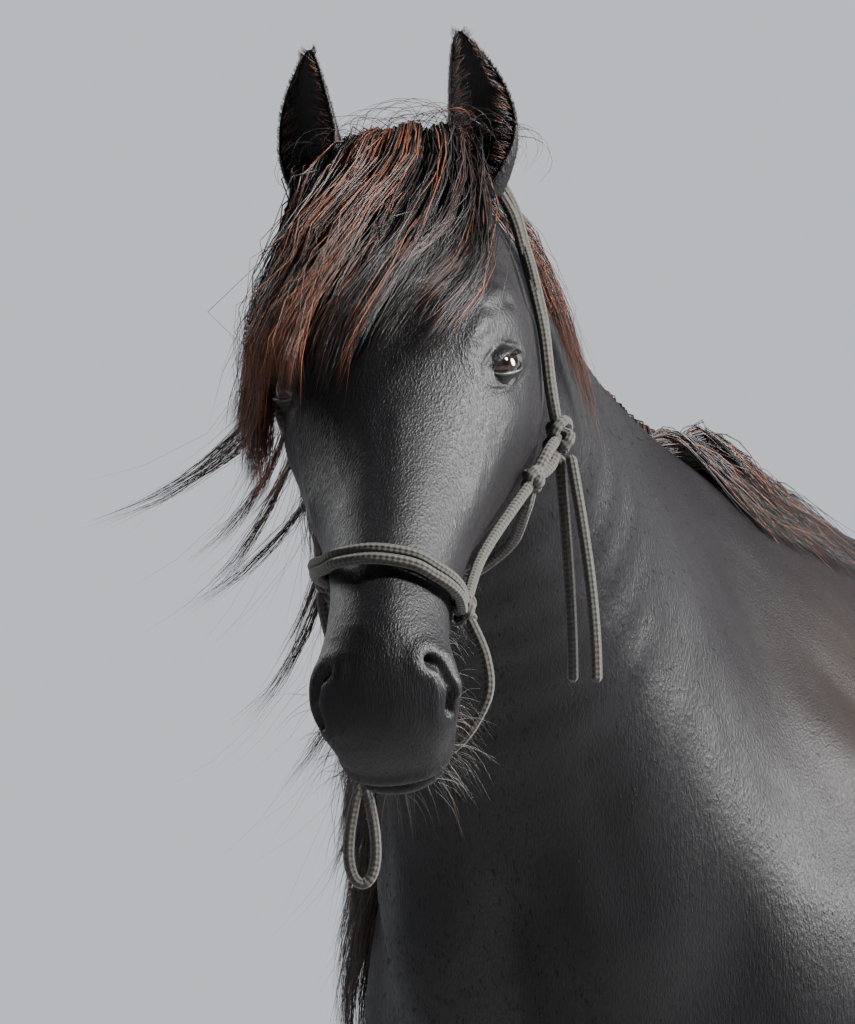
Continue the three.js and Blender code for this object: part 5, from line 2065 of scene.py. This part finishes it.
    def withers(self, strands: Strands) -> None:
        """Adds the short end of the mane that falls over the left side of the withers.

        Args:
            strands: the strands that get it.
        """
        rng, count = strands.rng, self.withers_locks
        place, lock = self.locks(count, self.withers_each, rng)
        n = len(lock)
        over = self.body.trunk.point
        u = np.clip(place[lock] + rng.normal(size=n) * 0.03, 0, 1)
        t = mix(0.69, 0.60, u)
        round_ = mix(0.015, 0.05, rng.random(count))[lock] + rng.normal(size=n) * 0.004
        far = rng.uniform(0.6, 1.0, n) * rng.uniform(0.6, 1.0, count)[lock]
        lift = (rng.uniform(0, 9, count) + 14 * (rng.random(count) < 0.06))[lock]
        stops = [(t, 0 * u, -14 + 0 * u), (t - 0.02 * far, 0.5 * round_, 8 + lift)]
        stops += [(t - 0.06 * far, round_, 11 + lift), (t - 0.11 * far, round_ + 0.022, 8 + lift)]
        stops += [(t - 0.17 * far, round_ + 0.044, 5 + lift)]
        paths = np.stack([over(*stop) for stop in stops], 1)
        paths = self.gather(paths, paths, np.zeros(n), rng.gamma(2.0, 1.8, n), rng)
        self.grow(strands, paths, (0.5, 0.9), self.tint(n, rng, 0.12))

    def forelock(self, material: Material) -> None:
        """Makes the forelock, swept to the far side, with rusty locks at its outer edge.

        Args:
            material: the finish of the hair.
        """
        strands = Strands("forelock", self.atlas, 23)
        rng = strands.rng
        place, lock = self.locks(self.forelock_locks, self.forelock_each, rng)
        n = len(lock)
        place = place**0.8
        u = np.clip(place[lock] + rng.normal(size=n) * 0.025, 0, 1)
        far = rng.uniform(0.2, 1.0, len(place))[lock] * rng.uniform(0.6, 1.0, n)
        lift = rng.uniform(0, 14, len(place))[lock]
        single = self.forelock_path(u, lift + rng.normal(size=n) * 2, far)
        middle = self.forelock_path(place[lock], lift, far)
        paths = self.gather(single, middle, rng.uniform(0.5, 1.0, n), rng.gamma(2.0, 2.2, n), rng)
        rusty = rng.random(len(place)) < 0.6
        red = np.where(rusty[lock], 0.95, 0.12) * (0.12 + 0.88 * ease((u - 0.15) / 0.3))
        self.grow(strands, paths, (0.5, 0.9), self.tint(n, rng, red))
        self.curls(strands)
        strands.build(material, "coat")

    def curls(self, strands: Strands) -> None:
        """Adds loose curls over the poll.

        Args:
            strands: the strands that get them.
        """
        rng, n = strands.rng, 60
        start, high = rng.uniform(-0.06, 0.08, n), rng.uniform(10, 34, n)
        turn = rng.choice([-1, 1], n) * rng.uniform(0.02, 0.06, n)
        down = rng.uniform(-50, -30, n)
        stops = ((0, 0, 30, 0), (4, 0.5, 52, 0.8), (10, 1, 56, 1), (18, 1.6, 50, 0.7), (24, 1.9, 40, 0.1))
        point = self.body.head.point
        paths = [point(down + d, start + a * turn, low + up * high) for d, a, low, up in stops]
        self.grow(strands, np.stack(paths, 1), (0.25, 0.4), self.tint(n, rng, 0.3))

    def fine(self, material: Material, eyes: Eyes) -> None:
        """Makes the hair in the ears, lashes, whiskers, beard and the hair behind the left ear.

        Args:
            material: the finish of the hair.
            eyes: the eyes, for their lashes.
        """
        strands = Strands("fine_hair", self.atlas, 83, steps=6)
        for side in Side:
            self.ear_hair(strands, side.value)
            self.ear_down(strands, side.value)
        self.lashes(strands, eyes)
        self.whiskers(strands)
        self.beard(strands)
        self.behind_ear(strands)
        strands.build(material, "coat")

    def ear_hair(self, strands: Strands, side: int) -> None:
        """Adds the hair inside one ear.

        Args:
            strands: the strands that get it.
            side: 1 for the left ear, -1 for the right one.
        """
        rng, ears = strands.rng, Ears(self.body)
        front = ears.frame(side)[0] * [side, 1, 1] @ self.body.head.axes
        up = ears.frame(side)[1] * [side, 1, 1] @ self.body.head.axes
        n = 520
        t, edge = rng.uniform(0.06, 0.93, n), rng.integers(0, 2, n) * 1.0
        share = np.abs(edge - rng.uniform(0.01, 0.22, n))
        root = ears.point(side, t, share, 1.0)
        middle = (ears.point(side, t, 0 * t, 1.0) + ears.point(side, t, 0 * t + 1, 1.0)) / 2
        reach = rng.uniform(0.25, 0.75, (n, 1))
        rise = rng.uniform(2, 12, (n, 1)) * up
        bend = mix(root, middle, reach * 0.5) + front * 3 + rise * 0.4
        end = mix(root, middle, reach) + front * rng.uniform(-2, 5, (n, 1)) + rise
        self.grow(strands, np.stack([root, bend, end], 1), (0.22, 0.34), self.tint(n, rng, 0.3))

    def ear_down(self, strands: Strands, side: int) -> None:
        """Adds the short down of the edges and the back of one ear.

        Args:
            strands: the strands that get it.
            side: 1 for the left ear, -1 for the right one.
        """
        rng, ears = strands.rng, Ears(self.body)
        up = ears.frame(side)[1] * [side, 1, 1] @ self.body.head.axes
        n = 1500
        t, share = rng.uniform(0.02, 1.0, n), rng.uniform(0, 1, n)
        share = np.where(rng.random(n) < 0.45, np.round(share) * 0.98 + 0.01, share)
        root = ears.point(side, t, share, 0.0)
        axis = ears.point(side, t, 0 * t + 0.5, 1.0) * 0.5 + ears.point(side, t, 0 * t, 1.0) * 0.5
        out = unit(root - axis)
        length = rng.uniform(1.5, 3.2, (n, 1)) + 4 * (t[:, None] > 0.96)
        bend = root + (out * 0.35 + up * 0.3) * length
        end = root + (out * 0.5 + up * 0.9) * length
        colors = self.tint(n, rng, 0.1 + 0.5 * (t > 0.9))
        self.grow(strands, np.stack([root, bend, end], 1), (0.18, 0.28), colors)

    def lashes(self, strands: Strands, eyes: Eyes) -> None:
        """Adds the lashes of the upper lids and a few long hairs under the eyes.

        Args:
            strands: the strands that get them.
            Adds the lashes of the upper lids.
        """
        rng = strands.rng
        for line, out, long, up in eyes.lids:
            n = 60
            share = rng.uniform(0.06, 0.44, n) * (len(line) - 1)
            low = np.floor(share).astype(int)
            root = mix(line[low], line[low + 1], (share - low)[:, None])
            length = rng.uniform(6, 11, (n, 1))
            fan = rng.normal(size=(n, 1)) * 0.16
            bend = root + (out * 0.62 + up * 0.12 + long * (0.22 + fan)) * length * 0.6
            end = root + (out * 0.75 - up * 0.18 + long * (0.5 + fan * 2)) * length
            self.grow(strands, np.stack([root, bend, end], 1), (0.2, 0.3), self.tint(n, rng, 0.0))

    def whiskers(self, strands: Strands) -> None:
        """Adds the stiff pale and dark hairs of lips, chin and nostrils.

        Args:
            strands: the strands that get them.
        """
        rng, n, head = strands.rng, 90, self.body.head
        down = rng.uniform(538, 594, n)
        round_ = 0.5 + rng.choice([-1, 1], n) * rng.uniform(0.02, 0.32, n)
        root, tip = head.outside(down, round_, 0 * down - 3), head.outside(down, round_, 0 * down + 10)
        fall = np.array([0, 0.73, -0.68])
        out = unit(unit(tip - root) + rng.normal(size=(n, 3)) * 0.3 + [0, 0.35, 0])
        length = rng.uniform(14, 44, (n, 1))
        bend = root + out * length * 0.5
        end = root + out * length + fall * length * rng.uniform(0.05, 0.4, (n, 1))
        paths = np.stack([head.place(x) for x in (root, bend, end)], 1)
        pale = rng.random((n, 1)) < 0.3
        shade = np.where(pale, np.array(self.tones.pale), np.array(self.tones.brown))
        self.grow(strands, paths, (0.17, 0.26), (shade, shade))

    def beard(self, strands: Strands) -> None:
        """Adds the long soft hairs under chin and jaw.

        Args:
            strands: the strands that get it.
        """
        rng, n, head = strands.rng, 420, self.body.head
        down = mix(300, 585, rng.random(n) ** 0.5)
        round_ = 0.5 + rng.choice([-1, 1], n) * rng.uniform(0.0, 0.13, n)
        root, tip = head.outside(down, round_, 0 * down - 3), head.outside(down, round_, 0 * down + 10)
        fall = np.array([0, 0.73, -0.68])
        out = unit(unit(tip - root) * 0.8 + rng.normal(size=(n, 3)) * 0.28 + fall * 0.3)
        length = rng.uniform(12, 30, (n, 1)) * (1 + 0.8 * (down[:, None] > 480))
        bend = root + out * length * 0.5
        end = root + out * length * 0.8 + fall * length * rng.uniform(0.2, 0.5, (n, 1))
        paths = np.stack([head.place(x) for x in (root, bend, end)], 1)
        self.grow(strands, paths, (0.18, 0.28), self.tint(n, rng, 0.1))

    def behind_ear(self, strands: Strands) -> None:
        """Adds the thin reddish hair that falls from the poll down the left side of the neck.

        Args:
            strands: the strands that get it.
        """
        rng, n = strands.rng, 560
        u, far = rng.random(n), rng.uniform(0.45, 1.0, n)
        spread = rng.random(n) ** 1.5
        lift = rng.uniform(0, 8, n)
        stops = [(0.978, 0.01, -10), (0.975, 0.07, 10), (0.966, 0.13, 11), (0.95, 0.175, 9)]
        stops += [(0.925, 0.215, 8), (0.898, 0.245, 7), (0.868, 0.27, 7)]
        whole = []
        for k, (t, round_, height) in enumerate(stops):
            along = 0.978 - (0.978 - t) * far
            fan = round_ + 0.012 * k * spread * (k < 5) + (u - 0.5) * 0.007 * k
            whole.append(self.body.trunk.point(along - 0.03 * (u - 0.5), fan, height + lift))
        paths = np.stack(whole, 1)
        paths = self.gather(paths, paths, np.zeros(n), rng.gamma(2.0, 1.3, n), rng)
        self.grow(strands, paths, (0.3, 0.5), self.tint(n, rng, 0.45))

    def tail_hair(self, material: Material) -> None:
        """Makes the locks of the tail, over the dark core that tail_core makes.

        Args:
            material: the finish of the hair.
        """
        strands = Strands("tail_hair", self.atlas, 37)
        rng = strands.rng
        place, lock = self.locks(self.tail_locks, self.tail_each, rng)
        n = len(lock)
        centre = (np.arange(len(place)) * GOLDEN_ANGLE)[lock]
        angle = centre + rng.normal(size=n) * 0.1
        start = (0.02 + 0.4 * rng.random(len(place)) ** 1.5)[lock]
        end = rng.uniform(0.86, 0.995, len(place))[lock] * rng.uniform(0.9, 1.0, n)
        size = rng.uniform(0.86, 1.0, len(place))[lock]
        s = np.linspace(0, 1, 8)
        t = start[:, None] + (end - start)[:, None] * s
        share = size[:, None] * (0.35 + 0.65 * ease(s * 3.4))
        sway = rng.normal(size=len(place))[lock][:, None] * 0.22 * np.sin(5 * s)
        paths = self.tail.point(t, angle[:, None] + sway, share)
        middle = self.tail.point(t, centre[:, None] + sway, share)
        paths = self.gather(paths, middle, rng.uniform(0.2, 0.9, n), rng.gamma(2.0, 2.0, n), rng)
        self.grow(strands, paths, (0.8, 1.3), self.tint(n, rng, 0.04))
        strands.build(material, "hair", ("tail",))

    def tail_core(self, material: Material) -> None:
        """Makes the body of the tail under its locks.

        Args:
            material: the finish of the hair.
        """
        bm = bmesh.new()
        t, ring = np.linspace(0, 0.93, 90), np.linspace(0, 2 * np.pi, 41)
        wave = 0.80 + 0.035 * np.sin(ring * 17) + 0.025 * np.sin(ring * 31 + 9 * t[:, None])
        shrink = np.minimum(1, (1.0 - t[:, None]) * 6)
        add_loft(bm, self.body.metres(self.tail.point(t[:, None], ring[None], wave * shrink)))
        new_piece("tail_core", mesh_of(bm, "tail_core"), material)

    def feathers(self, material: Material) -> None:
        """Makes the long hair of the four lower legs.

        Args:
            material: the finish of the hair.
        """
        for k, leg in enumerate(self.body.legs):
            strands = Strands(f"feather_{leg.name}", self.atlas, 51 + k, steps=8)
            rng = strands.rng
            place, lock = self.locks(self.feather_locks, self.feather_each, rng)
            n = len(lock)
            angle = np.pi + (place[lock] * 2 - 1) * np.pi * 0.88 + rng.normal(size=n) * 0.06
            back = (1 - np.cos(angle)) / 2
            high = mix(150, 330, back**1.3) * rng.uniform(0.55, 1.0, len(place))[lock]
            high = high + rng.normal(size=n) * 5
            low = np.maximum(14, rng.uniform(18, 60, len(place))[lock] + rng.normal(size=n) * 9)
            s = np.linspace(0, 1, 7)
            z = high[:, None] + (low - high)[:, None] * s
            out = rng.uniform(0.75, 1.0, len(place))[lock][:, None] * ease(s * 1.5 + 0.02)
            paths = self.feather_point(leg, z, angle[:, None], out)
            paths = self.gather(paths, paths, np.zeros(n), rng.gamma(2.0, 1.5, n), rng)
            paths[..., 2] = np.maximum(paths[..., 2], 6)
            self.grow(strands, paths, (0.6, 1.0), self.tint(n, rng, 0.05))
            strands.build(material, "coat")

    def feather_point(self, leg: Leg, z: Array, angle: Array, out: Array) -> Array:
        """Finds points between a leg's surface and the outside of its feather.

        Args:
            leg: the leg.
            z: heights.
            angle: angle round the leg, from the front.
            out: share of the way out.

        Returns:
            One point for each height.
        """
        table, flat = np.array(self.feather_rows, float), z.ravel()
        row = leg.row_at(np.maximum(flat, leg.lowest)).reshape(*z.shape, 5)
        wide, deep, behind = (np.interp(-flat, -table[:, 0], table[:, k]).reshape(z.shape) for k in (1, 2, 3))
        x = row[..., 0] * leg.side + np.sin(angle) * mix(row[..., 3] - 4, wide, out) * leg.side
        y = row[..., 1] - np.cos(angle) * mix(row[..., 4] - 4, deep, out) + behind * out
        return leg.stance(np.stack([x, y, z], -1).reshape(-1, 3)).reshape(*z.shape, 3)

    def coat(self, skin: Mesh, material: Material) -> None:
        """Makes the short tufts of the coat over the whole skin, smallest on face and feet.

        Args:
            skin: the skin's mesh.
            material: the finish of the coat.
        """
        strands = Strands("coat_tufts", self.atlas, 71, steps=2)
        rng = strands.rng
        skin.calc_loop_triangles()
        places, normals = vertex_places(skin), vertex_normals(skin)
        corners = np.empty(len(skin.loop_triangles) * 3, np.int32)
        skin.loop_triangles.foreach_get("vertices", corners)
        corners = corners.reshape(-1, 3)
        a, b, c = (places[corners[:, k]] for k in range(3))
        area = np.linalg.norm(np.cross(b - a, c - a), axis=1)
        p = self.body.forms((a + b + c) / 3)
        n_mid = unit(normals[corners].sum(1))
        h = self.body.head.inverse(p)
        face = (h[:, 1] > 60) & (h[:, 1] < 620) & (np.abs(h[:, 0]) < 140) & (h[:, 2] > -290)
        under = np.clip(-n_mid[:, 2], 0, 1)
        foot = ease((420 - p[:, 2]) / 250)
        weight = area * (1 + 2.5 * under + 2.0 * face + 1.5 * foot) * (p[:, 2] > 70)
        picked = rng.choice(len(corners), self.tufts, p=weight / weight.sum())
        w = rng.dirichlet((1, 1, 1), self.tufts)[..., None]
        chosen = corners[picked]
        root = (places[chosen] * w).sum(1)
        normal = unit((normals[chosen] * w).sum(1))
        lie = np.where(face[picked, None], self.body.head.axes[1], np.array([0, 0.72, -0.7]))
        lie = mix(lie, np.array([0, 0.1, -1.0]), ease((900 - p[picked, 2]) / 300)[:, None])
        lie = unit(lie + rng.normal(size=lie.shape) * 0.16)
        lie = unit(lie - normal * (lie * normal).sum(1, keepdims=True))
        length = mix(8.5, 3.6, np.maximum(face[picked] * 1.0, foot[picked]))
        length = length * rng.uniform(0.7, 1.3, self.tufts)
        length = (length * (1 + 0.8 * under[picked] * (1 - face[picked])))[:, None] * MM
        rise = rng.uniform(0.05, 0.14, (self.tufts, 1)) * (1 + 2.0 * under[picked, None])
        start = root - normal * 0.6 * MM
        middle = root + lie * length * 0.5 + normal * length * rise * 0.5
        end = root + lie * length + normal * length * rise * 0.7
        paths = np.stack([start, middle, end], 1)
        tone = self.tones
        shade = mix(np.array(tone.black), np.array(tone.grey), rng.random((self.tufts, 1)) * 0.5)
        width = mix(0.26, 0.15, face[picked] * 1.0) * rng.uniform(0.8, 1.2, self.tufts) * MM
        strands.add(paths, width, shade, shade * 1.3)
        strands.build(material, "coat")


@dataclass
class Studio:
    """Camera, floor and light."""

    body: Body
    camera: tuple = (4189.8, -6481.8, 1620)
    target: tuple = (124.9, -782.9, 1620)
    focal: float = 290.4
    sensor: float = 36.0

    def build(self) -> None:
        """Makes the camera, a pale floor, and soft light from the right."""
        data = bpy.data.cameras.new("camera")
        data.lens, data.sensor_width = self.focal, self.sensor
        eye, aim = (Vector(p) for p in self.body.metres(np.array([self.camera, self.target])))
        lens = bpy.data.objects.new("camera", data)
        lens.location = eye
        lens.rotation_euler = (aim - eye).to_track_quat("-Z", "Y").to_euler()
        bpy.context.scene.collection.objects.link(lens)
        bpy.context.scene.camera = lens
        ahead = (aim - eye).normalized()
        right = ahead.cross(Vector((0, 0, 1))).normalized()
        up = Vector((0, 0, 1))
        self.light("key", aim + right * 3.0 - ahead * 1.5 + up * 2.6, aim, 0.7, 760)
        self.light("side", aim + right * 3.2 + ahead * 0.3 + up * 1.2, aim, 1.2, 260)
        self.light("rim", aim - right * 2.4 + ahead * 2.4 + up * 1.6, aim, 1.8, 60)
        self.light("fill", aim - right * 2.4 - ahead * 2.6 + up * 0.4, aim, 3.0, 10)
        self.floor()
        self.sky()

    def sky(self) -> None:
        """Makes a pale horizon under a dimmer ceiling."""
        world = bpy.data.worlds.new("studio")
        world.use_nodes = True
        tree = world.node_tree
        tree.nodes.clear()
        ray = add_node(tree, "ShaderNodeTexCoord", {}, {})
        parts = add_node(tree, "ShaderNodeSeparateXYZ", {}, {0: ray.outputs["Generated"]})
        high = Shade(tree, parts.outputs[2]).smooth(0.07, 0.24)
        values = {0: high, 6: (0.80, 0.84, 0.90, 1), 7: (0.07, 0.08, 0.10, 1)}
        tint = add_node(tree, "ShaderNodeMix", {"data_type": "RGBA"}, values)
        shade = add_node(tree, "ShaderNodeBackground", {}, {"Color": tint.outputs[2], "Strength": 0.85})
        out = add_node(tree, "ShaderNodeOutputWorld", {}, {})
        tree.links.new(shade.outputs[0], out.inputs["Surface"])
        bpy.context.scene.world = world

    def light(self, name: str, place: Vector, aim: Vector, size: float, power: float) -> None:
        """Makes one soft light.

        Args:
            name: its name.
            place: where it stands.
            aim: where it points.
            size: its width in metres.
            power: its power in watts.
        """
        data = bpy.data.lights.new(name, "AREA")
        data.shape, data.size, data.energy = "DISK", size, power
        lamp = bpy.data.objects.new(name, data)
        lamp.location = place
        lamp.rotation_euler = (aim - place).to_track_quat("-Z", "Y").to_euler()
        bpy.context.scene.collection.objects.link(lamp)

    def floor(self) -> None:
        """Makes the floor under the hooves."""
        bm = bmesh.new()
        bmesh.ops.create_grid(bm, x_segments=1, y_segments=1, size=12)
        piece = bpy.data.objects.new("floor", mesh_of(bm, "floor"))
        bpy.context.scene.collection.objects.link(piece)
        piece.location.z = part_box("fore_left_hoof")[0][2] - 0.0005
        paint = Paint("floor")
        piece.data.materials.append(paint.finish(Base_Color=(0.55, 0.56, 0.57, 1), Roughness=0.8))


def main() -> None:
    """Builds the horse."""
    logging.basicConfig(level=logging.INFO, format="%(message)s")
    body, tail = Body(), TailForm()
    Studio(body).build()
    atlas = Atlas(body, tail)
    rope = RopeFinish().material()
    halter = Halter(body)
    halter.cords(rope)
    halter.build(rope)
    coat = CoatFinish().material()
    hair = HairFinish().material("hair")
    flesh = ["torso", "neck", "head"]
    flesh += [f"{leg.name}_{part}" for leg in body.legs for part in ("upper_leg", "lower_leg")]
    form = Skin(body)
    skin = form.build()
    new_piece("skin", skin, coat, tuple(flesh))
    Ears(body).build(coat)
    eyes = Eyes(form)
    eyes.build(EyeFinish().material(), LidFinish().material())
    Hooves(body).build(HoofFinish().material())
    growth = Hair(body, atlas, tail)
    growth.mane(hair)
    growth.forelock(hair)
    growth.tail_core(hair)
    growth.tail_hair(hair)
    growth.feathers(hair)
    growth.coat(skin, coat)
    growth.fine(hair, eyes)
    bpy.context.view_layer.update()


if __name__ == "__main__":
    main()
